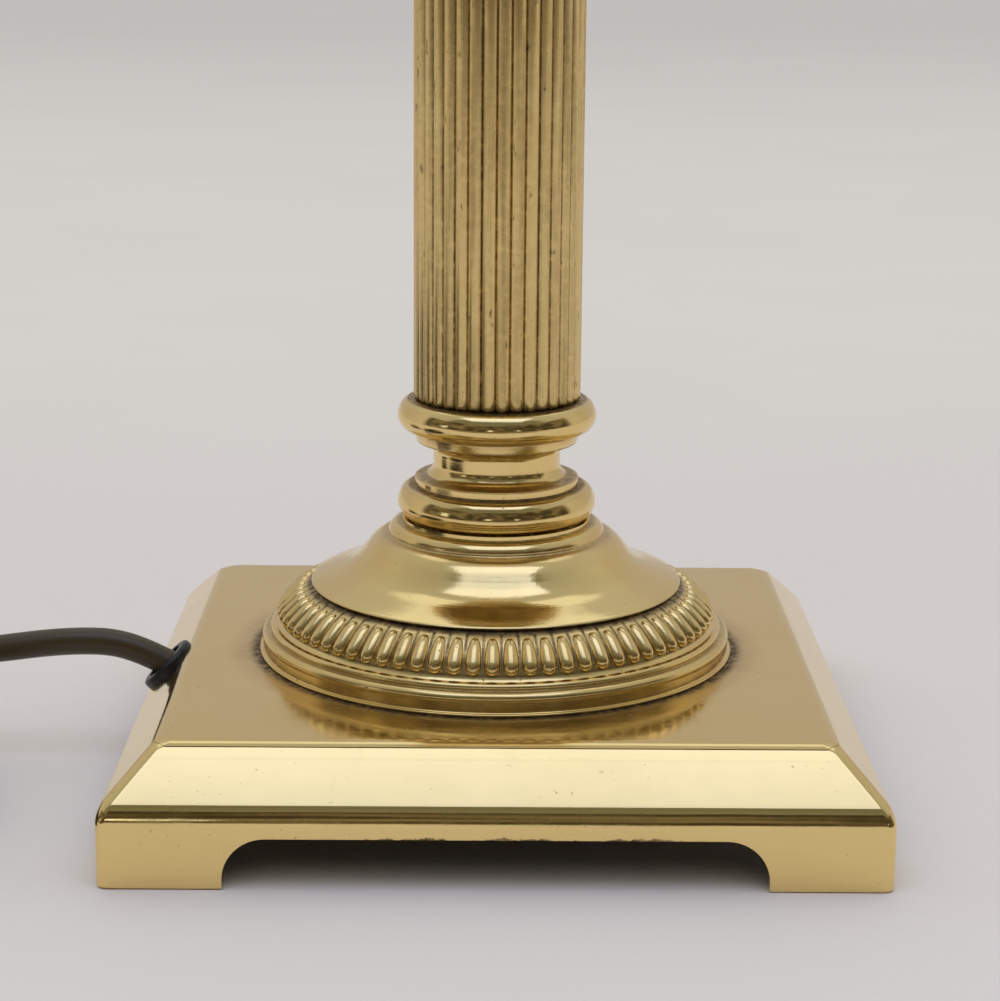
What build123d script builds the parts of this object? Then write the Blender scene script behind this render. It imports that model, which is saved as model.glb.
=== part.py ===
from build123d import *
import math
import os

os.makedirs("parts", exist_ok=True)

# Column table lamp in cast and turned brass, in millimetres.
# Origin: centre of the footprint on the table. +Z up, -Y is the front, the cord leaves at -X.

# ---- square plinth -------------------------------------------------------------------------
BASE_SIDE = 165.0            # across the vertical faces
BASE_FACE_HEIGHT = 16.0      # vertical face, foot to chamfer
BASE_HEIGHT = 28.4           # foot to top plate
CHAMFER_RUN = 12.3           # how far the chamfer runs in on each side
BASE_WALL = 4.0              # casting thickness
BASE_EDGE_ROUND = 1.6        # upright and mitred edges, polished round
TOP_EDGE_ROUND = 3.0         # where the top plate turns into the chamfer
FOOT_WIDTH = 26.0            # each bracket foot, along a side
ARCH_HEIGHT = 11.2           # opening between two feet
ARCH_CORNER = 9.0            # rounded top corners of that opening

# ---- flex and grommet ----------------------------------------------------------------------
FLEX_D = 6.4                 # round sheathed flex
FLEX_CLEARANCE = 0.1
CORE_D = 2.2                 # one insulated conductor
CORE_OFFSET = 1.3            # half the distance between the two conductors
GROMMET_FLANGE_D = 14.2
GROMMET_BORE_D = 9.6
GROMMET_FLANGE_T = 2.2
GROMMET_NECK_D = 12.0        # through the wall
GROMMET_TAIL_D = 13.6        # behind the wall
GROMMET_TAIL_T = 2.0
GROMMET_EDGE_ROUND = 0.9

# ---- clamp that holds the flex under the plinth --------------------------------------------
INNER_RUN_Z = 9.0            # height of the flex under the plinth
CLAMP_FROM_SIDE = 40.5       # clamp's middle from the plinth's side
CLAMP_LENGTH = 12.0          # along the flex
CLAMP_WIDTH = 26.0           # across the flex
STRAP_T = 1.2
CLAMP_SCREW_D = 3.0
CLAMP_SCREW_SPACING = 17.0
SHEATH_PAST_CLAMP = 12.0     # from the clamp's middle to where the sheath is stripped
ROD_TURN_R = 8.5             # bend of the conductors into the rod

# ---- central threaded rod and its fastenings -----------------------------------------------
ROD_D = 10.0                 # fine-threaded hollow rod, drawn at its crest
ROD_BORE_D = 7.6
THREAD_CLEARANCE = 0.05
ROD_BELOW_NUT = 1.6
ROD_HOLE_D = 10.6            # clearance hole through the stacked castings
WASHER_D = 30.0
WASHER_T = 1.5
NUT_AF = 17.0                # across flats
NUT_T = 4.0

# ---- earth terminal under the plinth -------------------------------------------------------
EARTH_X = -20.0
EARTH_Y = 26.0
EARTH_BOSS_D = 9.0
EARTH_BOSS_H = 4.0
EARTH_SCREW_D = 4.0
EARTH_TAG_T = 0.8

# ---- moulded foot with its ring of gadroons ------------------------------------------------
FOOT_LIP_PROUD = 0.8         # lip beyond the band
FOOT_LIP_H = 0.6
FOOT_BAND_PROUD = 2.4        # band beyond the astragal
FOOT_BAND_TOP = 3.1          # heights of the foot are measured up from the top plate
FOOT_BEAD_R = 1.0            # rounded bead above the band
ASTRAGAL_PROUD = 1.8         # small half-round ring, beyond the quarter-round
ASTRAGAL_BEAD = 0.6
OVOLO_OUTER_R = 50.1         # foot of the quarter-round that carries the gadroons
OVOLO_OUTER_Z = 8.0
OVOLO_INNER_R = 44.2
OVOLO_INNER_Z = 14.8
OVOLO_BULGE = 0.75
FOOT_BORE_R = 38.0
GADROONS = 75
GADROON_HALF_LENGTH = 4.3
GADROON_HALF_WIDTH = 1.7
GADROON_LIFT = 0.3           # axis of a gadroon above the chord of the quarter-round
GADROON_PHASE = -1.1         # first gadroon from the front, in degrees towards +X

# ---- ogee dome -----------------------------------------------------------------------------
DOME_RIM_R = 43.0
DOME_RIM_Z = 15.8            # underside of the rim above the top plate
DOME_TOP_Z = 30.5            # top of its collar above the top plate
DOME_COLLAR_R = 24.9
DOME_SHOULDER_RUN = 13.0     # from the rim in to the foot of the shoulder
DOME_SHOULDER_RISE = 10.1
DOME_WALL = 2.4
DOME_SPIGOT_H = 2.6          # step that centres the dome in the foot

# ---- turned column base, capital and their seats -------------------------------------------
SEAT_WASHER_R = 21.8
SEAT_WASHER_T = 0.9
TORUS_R = 22.7               # largest radius of both rolls
TORUS_BEAD = 2.85
FILLET_R = 18.8
FILLET_H = 1.7
NECK_R = 14.5
LOWER_TORUS_Z = 3.3          # heights of the column base are measured up from its seat
LOWER_FILLET_Z = 8.6
NECK_Z = 13.8
UPPER_FILLET_Z = 18.9
UPPER_TORUS_Z = 24.9
BASE_SPIGOT_H = 9.0          # turned spigot that enters the tube
COLUMN_BASE_BORE_R = 11.0    # lightening bore above the rod hole
SPIGOT_CLEARANCE = 0.1

# ---- reeded column -------------------------------------------------------------------------
COLUMN_R = 19.2              # over the crests of the reeds
COLUMN_LENGTH = 290.0
REEDS = 36
REED_R = 1.9
REED_PHASE = 3.3             # first reed from the front, in degrees towards +X
COLUMN_BORE_R = 17.0
REED_END_ROUND = 0.7

# ---- capital -------------------------------------------------------------------------------
CAPITAL_H = 24.0
CAPITAL_BEAD = 2.3
CAPITAL_NECK_R = 15.4
ECHINUS_R = 24.4
ABACUS_SIDE = 56.0
ABACUS_TOP_SIDE = 49.0
ABACUS_H = 8.0
ABACUS_FACE_H = 4.5
CUP_BASE_R = 19.0
CUP_TOP_R = 9.0
CUP_H = 15.0
LOCK_RING_R = 9.0
LOCK_RING_H = 3.0

# ---- bayonet lampholder --------------------------------------------------------------------
HOLDER_BOSS_R = 8.6
HOLDER_BOSS_H = 5.0
HOLDER_R = 17.0
HOLDER_WALL = 1.2
HOLDER_CAP_H = 28.0
HOLDER_FLARE_H = 8.0         # boss top to full radius
HOLDER_FLARE_T = 2.0         # thickness of the flared wall
HOLDER_THREAD_H = 8.0        # length of rod in the cap
FLANGE_R = 19.0              # the shade's ring rests on this flange
FLANGE_T = 2.0
BARREL_R = 14.25             # threaded barrel, drawn at its crest
BARREL_H = 27.0
BARREL_SKIRT_H = 4.0         # skirt that enters the cap
SOCKET_R = 11.3              # takes a 22 mm bayonet cap
SOCKET_DEPTH = 14.0
INSULATOR_R = 10.9
INSULATOR_SHOULDER_R = 13.2
INSULATOR_TOP = 8.0          # insulator's face above the flange
INSULATOR_CLEARANCE = 0.1
INSULATOR_BELOW_BAR = 2.5
TERMINAL_OFFSET = 8.5
TERMINAL_SCREW_R = 1.35
TERMINAL_SCREW_L = 2.6
SLOT_WIDTH = 2.6             # bayonet slots
SLOT_DEPTH = 9.0
SLOT_TURN = 22.0             # degrees from entry to catch
SLOT_CATCH = 1.6

# ---- moving pieces of the lampholder -------------------------------------------------------
PLUNGER_D = 4.0
PLUNGER_OFFSET = 5.6
PLUNGER_OUT = 5.0            # out of the insulator at rest
PLUNGER_IN = 7.0             # guided length inside it
PLUNGER_TRAVEL = 3.5
PLUNGER_CLEARANCE = 0.06
PLUNGER_NOSE = 1.2
SPRING_WIRE = 0.45
SPRING_R = 1.45
SPRING_TURNS = 5
SPRING_LENGTH = 6.0
SWITCH_BAR_D = 4.0
SWITCH_BAR_CLEARANCE = 0.06
SWITCH_BAR_Z = 19.5          # above the foot of the cap
SWITCH_KNOB_D = 7.0
SWITCH_KNOB_L = 4.0
SWITCH_TRAVEL = 5.0
SWITCH_GAP = 0.6             # least gap between a knob and the cap
SHADE_RING_R = 20.0
SHADE_RING_H = 7.0
SHADE_RING_CLEARANCE = 0.08
SHADE_RING_GAP = 0.3         # above the flange when screwed down
SHADE_RING_RIBS = 36
RELIEF_GAP = 0.4             # thread relief in the barrel, above the screwed-down ring
RELIEF_W = 0.8
RELIEF_DEPTH = 0.35

# ---- free cord and its coil ----------------------------------------------------------------
COIL_X = -162.0
COIL_Y = -40.0
COIL_INNER_R = 31.2
COIL_PITCH = 8.0             # from turn to turn across a layer
COIL_LAYER = 7.05            # from layer to layer
COIL_LAYERS = 4
COIL_LAYER_TURNS = 1.375     # spiral turns in each layer, besides the half turn of each climb
CORD_REST_Z = 3.25           # centre of the cord where it lies on the table

# ---- plug ----------------------------------------------------------------------------------
PLUG_X = -199.2
PLUG_Y = 68.0
PLUG_LENGTH = 50.0           # from the cord entry to the earth pin's end
PLUG_WIDTH = 48.0            # at the cord's end
PLUG_NOSE_WIDTH = 36.0       # narrower at the earth pin's end
PLUG_COVER_T = 11.0
PLUG_BASE_T = 13.0
PLUG_CORNER = 6.0
PLUG_EDGE = 1.5
PIN_SPACING = 22.2           # between the two power pins, and from them to the earth pin
PIN_W = 6.35
PIN_T = 4.0
EARTH_PIN_W = 4.0
EARTH_PIN_T = 8.0
PIN_OUT = 17.7
EARTH_PIN_OUT = 22.7
PIN_IN = 6.0
PLUG_SCREW_D = 4.0
PLUG_SCREW_SINK = 3.0
PLUG_SCREW_IN = 7.5
PLUG_CORD_IN = 8.0           # how far the cord enters the plug
FUSE_D = 6.3
FUSE_LENGTH = 25.4
FUSE_CLEARANCE = 0.1
FUSE_FROM_EDGE = 10.0        # fuse's axis from the plug's side

# ---- levels that follow --------------------------------------------------------------------
ASTRAGAL_R = OVOLO_OUTER_R + ASTRAGAL_PROUD
FOOT_BAND_R = ASTRAGAL_R + FOOT_BAND_PROUD
FOOT_LIP_R = FOOT_BAND_R + FOOT_LIP_PROUD
ROOF_Z = BASE_HEIGHT - BASE_WALL
WASHER_Z = ROOF_Z - WASHER_T
NUT_Z = WASHER_Z - NUT_T
ROD_BOTTOM_Z = NUT_Z - ROD_BELOW_NUT
FOOT_Z = BASE_HEIGHT
DOME_TOP = FOOT_Z + DOME_TOP_Z
COLUMN_BASE_Z = DOME_TOP + SEAT_WASHER_T
COLUMN_Z = COLUMN_BASE_Z + UPPER_TORUS_Z + TORUS_BEAD
CAPITAL_Z = COLUMN_Z + COLUMN_LENGTH
ABACUS_Z = CAPITAL_Z + CAPITAL_H
CUP_Z = ABACUS_Z + ABACUS_H
LOCK_RING_Z = CUP_Z + CUP_H
HOLDER_Z = LOCK_RING_Z + LOCK_RING_H
ROD_TOP_Z = HOLDER_Z + HOLDER_THREAD_H
FLANGE_Z = HOLDER_Z + HOLDER_CAP_H
BARREL_Z = FLANGE_Z + FLANGE_T
BARREL_TOP = BARREL_Z + BARREL_H
SOCKET_FLOOR = BARREL_TOP - SOCKET_DEPTH
INSULATOR_TOP_Z = BARREL_Z + INSULATOR_TOP
INSULATOR_FOOT_Z = HOLDER_Z + SWITCH_BAR_Z - SWITCH_BAR_D / 2 - INSULATOR_BELOW_BAR
SHADE_RING_Z = BARREL_Z + SHADE_RING_GAP
RELIEF_Z = SHADE_RING_Z + SHADE_RING_H + RELIEF_GAP


class Outline:
    """A closed outline in (radius, height), drawn as lines and arcs one after another."""

    def __init__(self, radius, height):
        self.start = self.at = (radius, height)
        self.edges = []

    def to(self, radius, height):
        """A straight line to a point."""
        self.edges.append(Line(self.at, (radius, height)))
        self.at = (radius, height)
        return self

    def arc(self, radius, height, bulge):
        """An arc to a point. On the way up, a positive bulge swells outwards."""
        (r0, z0), (r1, z1) = self.at, (radius, height)
        chord = math.hypot(r1 - r0, z1 - z0)
        middle = (
            (r0 + r1) / 2 + bulge * (z1 - z0) / chord,
            (z0 + z1) / 2 - bulge * (r1 - r0) / chord,
        )
        self.edges.append(ThreePointArc(self.at, middle, (radius, height)))
        self.at = (radius, height)
        return self

    def turned(self, lift=0.0):
        """The solid of revolution of the closed outline about Z."""
        self.to(*self.start)
        return Pos(0, 0, lift) * revolve(Plane.XZ * make_face(self.edges), Axis.Z)


def cylinder(radius, low, high, x=0.0, y=0.0):
    """An upright cylinder between two heights."""
    return Pos(x, y, (low + high) / 2) * Cylinder(radius, high - low)


def tube(outer, inner, low, high, x=0.0, y=0.0):
    """An upright tube between two heights."""
    return cylinder(outer, low, high, x, y) - cylinder(inner, low - 1, high + 1, x, y)


def block(x0, x1, y0, y1, z0, z1):
    """A box between two corners."""
    centre = Pos((x0 + x1) / 2, (y0 + y1) / 2, (z0 + z1) / 2)
    return centre * Box(x1 - x0, y1 - y0, z1 - z0)


def hexagon_nut(across_flats, bore_radius, low, high, chamfer_depth=0.8):
    """A hexagon nut with its outer corners turned off."""
    across_corners = across_flats / math.cos(math.radians(30))
    prism = extrude(RegularPolygon(across_corners / 2, 6), high - low)
    corner = across_corners / 2
    envelope = (
        Outline(0, 0)
        .to(corner - chamfer_depth, 0)
        .to(corner, chamfer_depth * 0.6)
        .to(corner, high - low - chamfer_depth * 0.6)
        .to(corner - chamfer_depth, high - low)
        .to(0, high - low)
        .turned()
    )
    return Pos(0, 0, low) * (prism & envelope) - cylinder(bore_radius, low - 1, high + 1)


# ---- plinth --------------------------------------------------------------------------------
TOP_SIDE = BASE_SIDE - 2 * CHAMFER_RUN
CLAMP_X = CLAMP_FROM_SIDE - BASE_SIDE / 2
SHEATH_END_X = CLAMP_X + SHEATH_PAST_CLAMP
CHAMFER_RISE = BASE_HEIGHT - BASE_FACE_HEIGHT
CHAMFER_SLOPE = math.atan2(CHAMFER_RISE, CHAMFER_RUN)
GROMMET_CENTRE = Vector(
    -(BASE_SIDE / 2 - CHAMFER_RUN / 2), 0, BASE_FACE_HEIGHT + CHAMFER_RISE / 2
)
GROMMET_OUT = Vector(-math.sin(CHAMFER_SLOPE), 0, math.cos(CHAMFER_SLOPE))
GROMMET_PLANE = Plane(origin=GROMMET_CENTRE, x_dir=(0, 1, 0), z_dir=GROMMET_OUT)
# The flex bends a little in the grommet: two corners and its exit, in the grommet's own frame.
FLEX_INNER_CORNER = GROMMET_PLANE.from_local_coords(Vector(0, -1.45, -4.0))
FLEX_OUTER_CORNER = GROMMET_PLANE.from_local_coords(Vector(0, -0.95, -1.0))
FLEX_EXIT = GROMMET_PLANE.from_local_coords(Vector(0, 0.1, GROMMET_FLANGE_T))
CLAMP_FACE_Z = INNER_RUN_Z + FLEX_D / 2


def plinth_shell():
    """The outside of the plinth: an upright band below a pyramid's frustum."""
    band = extrude(Rectangle(BASE_SIDE, BASE_SIDE), BASE_FACE_HEIGHT)
    lower = Pos(0, 0, BASE_FACE_HEIGHT) * Rectangle(BASE_SIDE, BASE_SIDE)
    upper = Pos(0, 0, BASE_HEIGHT) * Rectangle(TOP_SIDE, TOP_SIDE)
    solid = band + loft([lower, upper])
    solid = fillet(solid.edges().group_by(Axis.Z)[-1], TOP_EDGE_ROUND)
    above_foot = [
        e for e in solid.edges() if 0.1 < e.bounding_box().max.Z < BASE_HEIGHT - TOP_EDGE_ROUND / 4
    ]
    return fillet(above_foot, BASE_EDGE_ROUND)


def plinth_hollow():
    """The space under the plinth, one casting thickness inside every face."""
    inner = BASE_SIDE - 2 * BASE_WALL
    across = BASE_WALL / math.sin(CHAMFER_SLOPE)
    knee_z = BASE_FACE_HEIGHT - (across - BASE_WALL) * math.tan(CHAMFER_SLOPE)
    roof_side = inner - 2 * (ROOF_Z - knee_z) / math.tan(CHAMFER_SLOPE)
    band = Pos(0, 0, -1) * extrude(Rectangle(inner, inner), knee_z + 1)
    lower = Pos(0, 0, knee_z) * Rectangle(inner, inner)
    upper = Pos(0, 0, ROOF_Z) * Rectangle(roof_side, roof_side)
    return band + loft([lower, upper])


def arch_cutter():
    """The opening between two bracket feet, through the whole plinth along Y."""
    width = BASE_SIDE - 2 * FOOT_WIDTH
    opening = Pos(0, ARCH_HEIGHT / 2) * Rectangle(width, ARCH_HEIGHT)
    top_corners = opening.vertices().group_by(Axis.Y)[-1]
    opening = fillet(top_corners, ARCH_CORNER)
    below = Pos(0, -1) * Rectangle(width, 2.2)
    return extrude(Plane.XZ * (opening + below), BASE_SIDE, both=True)


def clamp_screw_places():
    return [(CLAMP_X, side * CLAMP_SCREW_SPACING / 2) for side in (-1, 1)]


def base_plinth():
    body = plinth_shell() - plinth_hollow()
    arch = arch_cutter()
    body = body - arch - Rot(0, 0, 90) * arch
    body = body - cylinder(ROD_HOLE_D / 2, ROOF_Z - 1, BASE_HEIGHT + 1)
    body = body - GROMMET_PLANE * Cylinder(GROMMET_NECK_D / 2, 4 * BASE_WALL)
    half_length, half_width = CLAMP_LENGTH / 2, CLAMP_WIDTH / 2
    body = body + block(
        CLAMP_X - half_length, CLAMP_X + half_length, -half_width, half_width, CLAMP_FACE_Z, ROOF_Z + 1
    )
    for x, y in clamp_screw_places():
        body = body - cylinder(CLAMP_SCREW_D / 2, CLAMP_FACE_Z - 1, CLAMP_FACE_Z + 7, x, y)
    body = body + cylinder(EARTH_BOSS_D / 2, ROOF_Z - EARTH_BOSS_H, ROOF_Z + 1, EARTH_X, EARTH_Y)
    earth_hole_z = ROOF_Z - EARTH_BOSS_H
    return body - cylinder(EARTH_SCREW_D / 2, earth_hole_z - 1, earth_hole_z + 6, EARTH_X, EARTH_Y)


def cord_grommet():
    """Rubber grommet: flange outside, neck through the wall, smaller flange behind."""
    bore = GROMMET_BORE_D / 2
    neck = GROMMET_NECK_D / 2 - FLEX_CLEARANCE
    back = -BASE_WALL - GROMMET_TAIL_T
    flange, rounding = GROMMET_FLANGE_D / 2, GROMMET_EDGE_ROUND
    ring = (
        Outline(bore, back)
        .to(GROMMET_TAIL_D / 2 - rounding, back)
        .to(GROMMET_TAIL_D / 2, back + rounding)
        .to(GROMMET_TAIL_D / 2, -BASE_WALL)
        .to(neck, -BASE_WALL)
        .to(neck, 0)
        .to(flange, 0)
        .to(flange, GROMMET_FLANGE_T - rounding)
        .arc(flange - rounding, GROMMET_FLANGE_T, 0.29 * rounding)
        .to(bore, GROMMET_FLANGE_T)
        .turned()
    )
    return GROMMET_PLANE * ring


def cord_clamp():
    """Pressed strap over the flex, with a lug each side."""
    inner = FLEX_D / 2 + FLEX_CLEARANCE
    outer = inner + STRAP_T
    half_width = CLAMP_WIDTH / 2
    saddle = Rectangle(2 * outer, 2 * outer) & Pos(0, -outer / 2) * Rectangle(2 * outer, outer)
    saddle = Circle(outer) & saddle
    wall = Pos(0, FLEX_D / 4) * Rectangle(2 * outer, FLEX_D / 2)
    lug = Pos(0, FLEX_D / 2 - STRAP_T / 2) * Rectangle(2 * half_width, STRAP_T)
    channel = Pos(0, FLEX_D / 2) * Rectangle(2 * inner, FLEX_D)
    section = (saddle + wall + lug) - Circle(inner) - channel
    along = Plane(origin=(CLAMP_X, 0, INNER_RUN_Z), x_dir=(0, 1, 0), z_dir=(1, 0, 0))
    strap = extrude(along * section, CLAMP_LENGTH / 2 - 1, both=True)
    for x, y in clamp_screw_places():
        strap = strap - cylinder(CLAMP_SCREW_D / 2 + 0.2, CLAMP_FACE_Z - 5, CLAMP_FACE_Z + 1, x, y)
    return strap


def pan_screw(shank_radius, shank_length, face_z, x, y):
    """A pan-head screw driven upwards into a face, with a slot in its head."""
    head_r, head_h = 1.9 * shank_radius, 1.2 * shank_radius
    screw = cylinder(shank_radius - 0.05, face_z, face_z + shank_length, x, y)
    head = (
        Outline(0, -head_h)
        .to(0.7 * head_r, -head_h)
        .arc(head_r, -0.4 * head_h, 0.12 * head_r)
        .to(head_r, 0)
        .to(0, 0)
        .turned()
    )
    slot_w, slot_d = 0.4 * shank_radius, 0.5 * head_h
    slot = block(x - head_r, x + head_r, y - slot_w / 2, y + slot_w / 2, face_z - 2 * head_h, face_z - slot_d)
    return screw + Pos(x, y, face_z) * head - slot


def clamp_screws():
    face = CLAMP_FACE_Z - STRAP_T
    return Compound([pan_screw(CLAMP_SCREW_D / 2, 6.0, face, x, y) for x, y in clamp_screw_places()])


def earth_tag():
    """Flat ring terminal under the earth screw, with a crimped barrel for the conductor."""
    top = ROOF_Z - EARTH_BOSS_H
    ring = tube(EARTH_SCREW_D, EARTH_SCREW_D / 2 + 0.2, top - EARTH_TAG_T, top, EARTH_X, EARTH_Y)
    tongue = block(EARTH_X - 10, EARTH_X - 3, EARTH_Y - 1.6, EARTH_Y + 1.6, top - EARTH_TAG_T, top)
    barrel = Pos(EARTH_X - 12.5, EARTH_Y, top - 1.9) * Rot(0, 90, 0) * (Cylinder(1.9, 6) - Cylinder(1.2, 7))
    return ring + (tongue - cylinder(EARTH_SCREW_D / 2 + 0.2, top - 2, top + 1, EARTH_X, EARTH_Y)) + barrel


def earth_screw():
    return pan_screw(EARTH_SCREW_D / 2, 5.0, ROOF_Z - EARTH_BOSS_H - EARTH_TAG_T, EARTH_X, EARTH_Y)


# ---- foot, dome and column base ------------------------------------------------------------
def gadroon(angle):
    """One gadroon: a round-ended bar lying down the quarter-round."""
    run, rise = OVOLO_OUTER_R - OVOLO_INNER_R, OVOLO_OUTER_Z - OVOLO_INNER_Z
    chord = math.hypot(run, rise)
    out_r, out_z = -rise / chord, run / chord
    radius = (OVOLO_OUTER_R + OVOLO_INNER_R) / 2 + GADROON_LIFT * out_r
    height = (OVOLO_OUTER_Z + OVOLO_INNER_Z) / 2 + GADROON_LIFT * out_z
    half, width = GADROON_HALF_LENGTH, GADROON_HALF_WIDTH
    end_bulge = width * (1 - math.sqrt(0.5))
    bar = (
        Outline(0, -half)
        .arc(width, width - half, end_bulge)
        .to(width, half - width)
        .arc(0, half, end_bulge)
        .turned()
    )
    tilt = 90 + math.degrees(math.atan2(-rise, run))
    return Rot(0, 0, angle) * Pos(radius, 0, height) * Rot(0, tilt, 0) * bar


def foot_moulding():
    """The plain turned mouldings of the foot, with a bore that the dome drops into."""
    seat = DOME_RIM_Z
    bead_foot = FOOT_BAND_TOP
    bead_top = FOOT_BAND_TOP + 2 * FOOT_BEAD_R
    astragal_foot = bead_top + 0.3
    astragal_top = astragal_foot + 2 * ASTRAGAL_BEAD
    return (
        Outline(FOOT_BORE_R, 0)
        .to(FOOT_LIP_R, 0)
        .to(FOOT_LIP_R, FOOT_LIP_H)
        .to(FOOT_BAND_R, FOOT_LIP_H + 0.2)
        .to(FOOT_BAND_R, bead_foot)
        .arc(FOOT_BAND_R - FOOT_BEAD_R, bead_top, 0.6 * FOOT_BEAD_R)
        .to(ASTRAGAL_R + ASTRAGAL_BEAD, bead_top)
        .to(ASTRAGAL_R + ASTRAGAL_BEAD, astragal_foot)
        .arc(ASTRAGAL_R, astragal_top, 0.5 * ASTRAGAL_BEAD)
        .to(OVOLO_OUTER_R + 0.9, astragal_top)
        .arc(OVOLO_OUTER_R, OVOLO_OUTER_Z, -0.15)
        .arc(OVOLO_INNER_R, OVOLO_INNER_Z, OVOLO_BULGE)
        .to(DOME_RIM_R - 1.0, seat)
        .to(FOOT_BORE_R, seat)
    )


def gadroon_foot():
    ring = foot_moulding().turned()
    bars = [gadroon(-90 + GADROON_PHASE + index * 360 / GADROONS) for index in range(GADROONS)]
    return Pos(0, 0, FOOT_Z) * ring.fuse(*bars)


def dome_foot():
    """Ogee dome: rounded rim, shallow cove, full shoulder and a collar bead."""
    rim, collar = DOME_RIM_R, DOME_COLLAR_R
    foot, top = DOME_RIM_Z, DOME_TOP_Z
    spigot = FOOT_BORE_R - SPIGOT_CLEARANCE
    roof = top - 3.2
    outline = (
        Outline(spigot - DOME_WALL, foot - DOME_SPIGOT_H)
        .to(spigot, foot - DOME_SPIGOT_H)
        .to(spigot, foot)
        .to(rim - 0.3, foot)
        .to(rim, foot + 0.6)
        .arc(rim - 3.5, foot + 5.2, 0.95)
        .arc(rim - 11.4, foot + 8.4, -0.35)
        .arc(rim - DOME_SHOULDER_RUN, foot + DOME_SHOULDER_RISE, -0.12)
        .arc(collar + 0.7, top - 1.8, 1.0)
        .arc(collar, top - 0.9, -0.25)
        .arc(collar - 0.6, top, 0.3)
        .to(ROD_HOLE_D / 2, top)
        .to(ROD_HOLE_D / 2, roof)
        .to(collar - DOME_WALL, roof)
        .to(rim - DOME_SHOULDER_RUN - DOME_WALL, foot + DOME_SHOULDER_RISE - 1.5)
        .to(rim - 10.5 - DOME_WALL, foot + 5.4)
    )
    return outline.turned(FOOT_Z)


def seat_washer():
    return tube(SEAT_WASHER_R, ROD_HOLE_D / 2, DOME_TOP, DOME_TOP + SEAT_WASHER_T)


def torus_roll(outline, middle_z, bead, largest):
    """Adds a half-round roll that starts and ends one bead inside its largest radius."""
    inner = largest - bead
    outline.to(inner, middle_z - bead)
    outline.arc(inner, middle_z + bead, bead)
    return outline


def column_base():
    """Turned base of the column: roll, fillet, hollow neck, fillet, roll and spigot."""
    top = UPPER_TORUS_Z + TORUS_BEAD
    spigot_r = COLUMN_BORE_R - SPIGOT_CLEARANCE
    outline = Outline(ROD_HOLE_D / 2, 0).to(TORUS_R - 2.0, 0)
    torus_roll(outline, LOWER_TORUS_Z, TORUS_BEAD, TORUS_R)
    outline.to(FILLET_R - 0.6, LOWER_TORUS_Z + TORUS_BEAD + 0.6)
    outline.to(FILLET_R, LOWER_FILLET_Z - FILLET_H / 2)
    outline.to(FILLET_R, LOWER_FILLET_Z + FILLET_H / 2)
    outline.to(FILLET_R - 1.2, LOWER_FILLET_Z + FILLET_H / 2 + 0.2)
    outline.arc(NECK_R, NECK_Z - 0.6, -1.1)
    outline.to(NECK_R, NECK_Z + 1.2)
    outline.arc(FILLET_R - 1.2, UPPER_FILLET_Z - FILLET_H / 2 - 0.1, -0.9)
    outline.to(FILLET_R, UPPER_FILLET_Z - FILLET_H / 2)
    outline.to(FILLET_R, UPPER_FILLET_Z + FILLET_H / 2)
    outline.to(FILLET_R - 0.4, UPPER_FILLET_Z + FILLET_H / 2 + 0.7)
    torus_roll(outline, UPPER_TORUS_Z, TORUS_BEAD, TORUS_R)
    outline.to(spigot_r, top)
    outline.to(spigot_r, top + BASE_SPIGOT_H - 1)
    outline.to(spigot_r - 1, top + BASE_SPIGOT_H)
    outline.to(COLUMN_BASE_BORE_R, top + BASE_SPIGOT_H)
    outline.to(COLUMN_BASE_BORE_R, 6.0)
    outline.to(ROD_HOLE_D / 2, 6.0)
    return outline.turned(COLUMN_BASE_Z)


# ---- reeded column -------------------------------------------------------------------------
def reed_outline():
    """The cross-section of the tube: convex reeds that meet in sharp grooves."""
    centre_r = COLUMN_R - REED_R
    half_pitch = math.pi / REEDS
    groove_r = centre_r * math.cos(half_pitch) + math.sqrt(
        REED_R**2 - (centre_r * math.sin(half_pitch)) ** 2
    )
    first = math.radians(REED_PHASE - 90)
    arcs = []
    for index in range(REEDS):
        middle = first + 2 * index * half_pitch
        start, end = middle - half_pitch, middle + half_pitch
        arcs.append(
            ThreePointArc(
                (groove_r * math.cos(start), groove_r * math.sin(start)),
                (COLUMN_R * math.cos(middle), COLUMN_R * math.sin(middle)),
                (groove_r * math.cos(end), groove_r * math.sin(end)),
            )
        )
    return make_face(arcs)


def reeded_column():
    """Drawn tube with a reeded outside, its ends turned slightly round."""
    tube_length = COLUMN_LENGTH
    shaft = extrude(reed_outline(), tube_length)
    end, crest = REED_END_ROUND, COLUMN_R
    envelope = (
        Outline(COLUMN_BORE_R, 0)
        .to(crest - end, 0)
        .arc(crest + 0.02, end, 0.29 * end)
        .to(crest + 0.02, tube_length - end)
        .arc(crest - end, tube_length, 0.29 * end)
        .to(COLUMN_BORE_R, tube_length)
        .turned()
    )
    return Pos(0, 0, COLUMN_Z) * (shaft & envelope)


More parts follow.
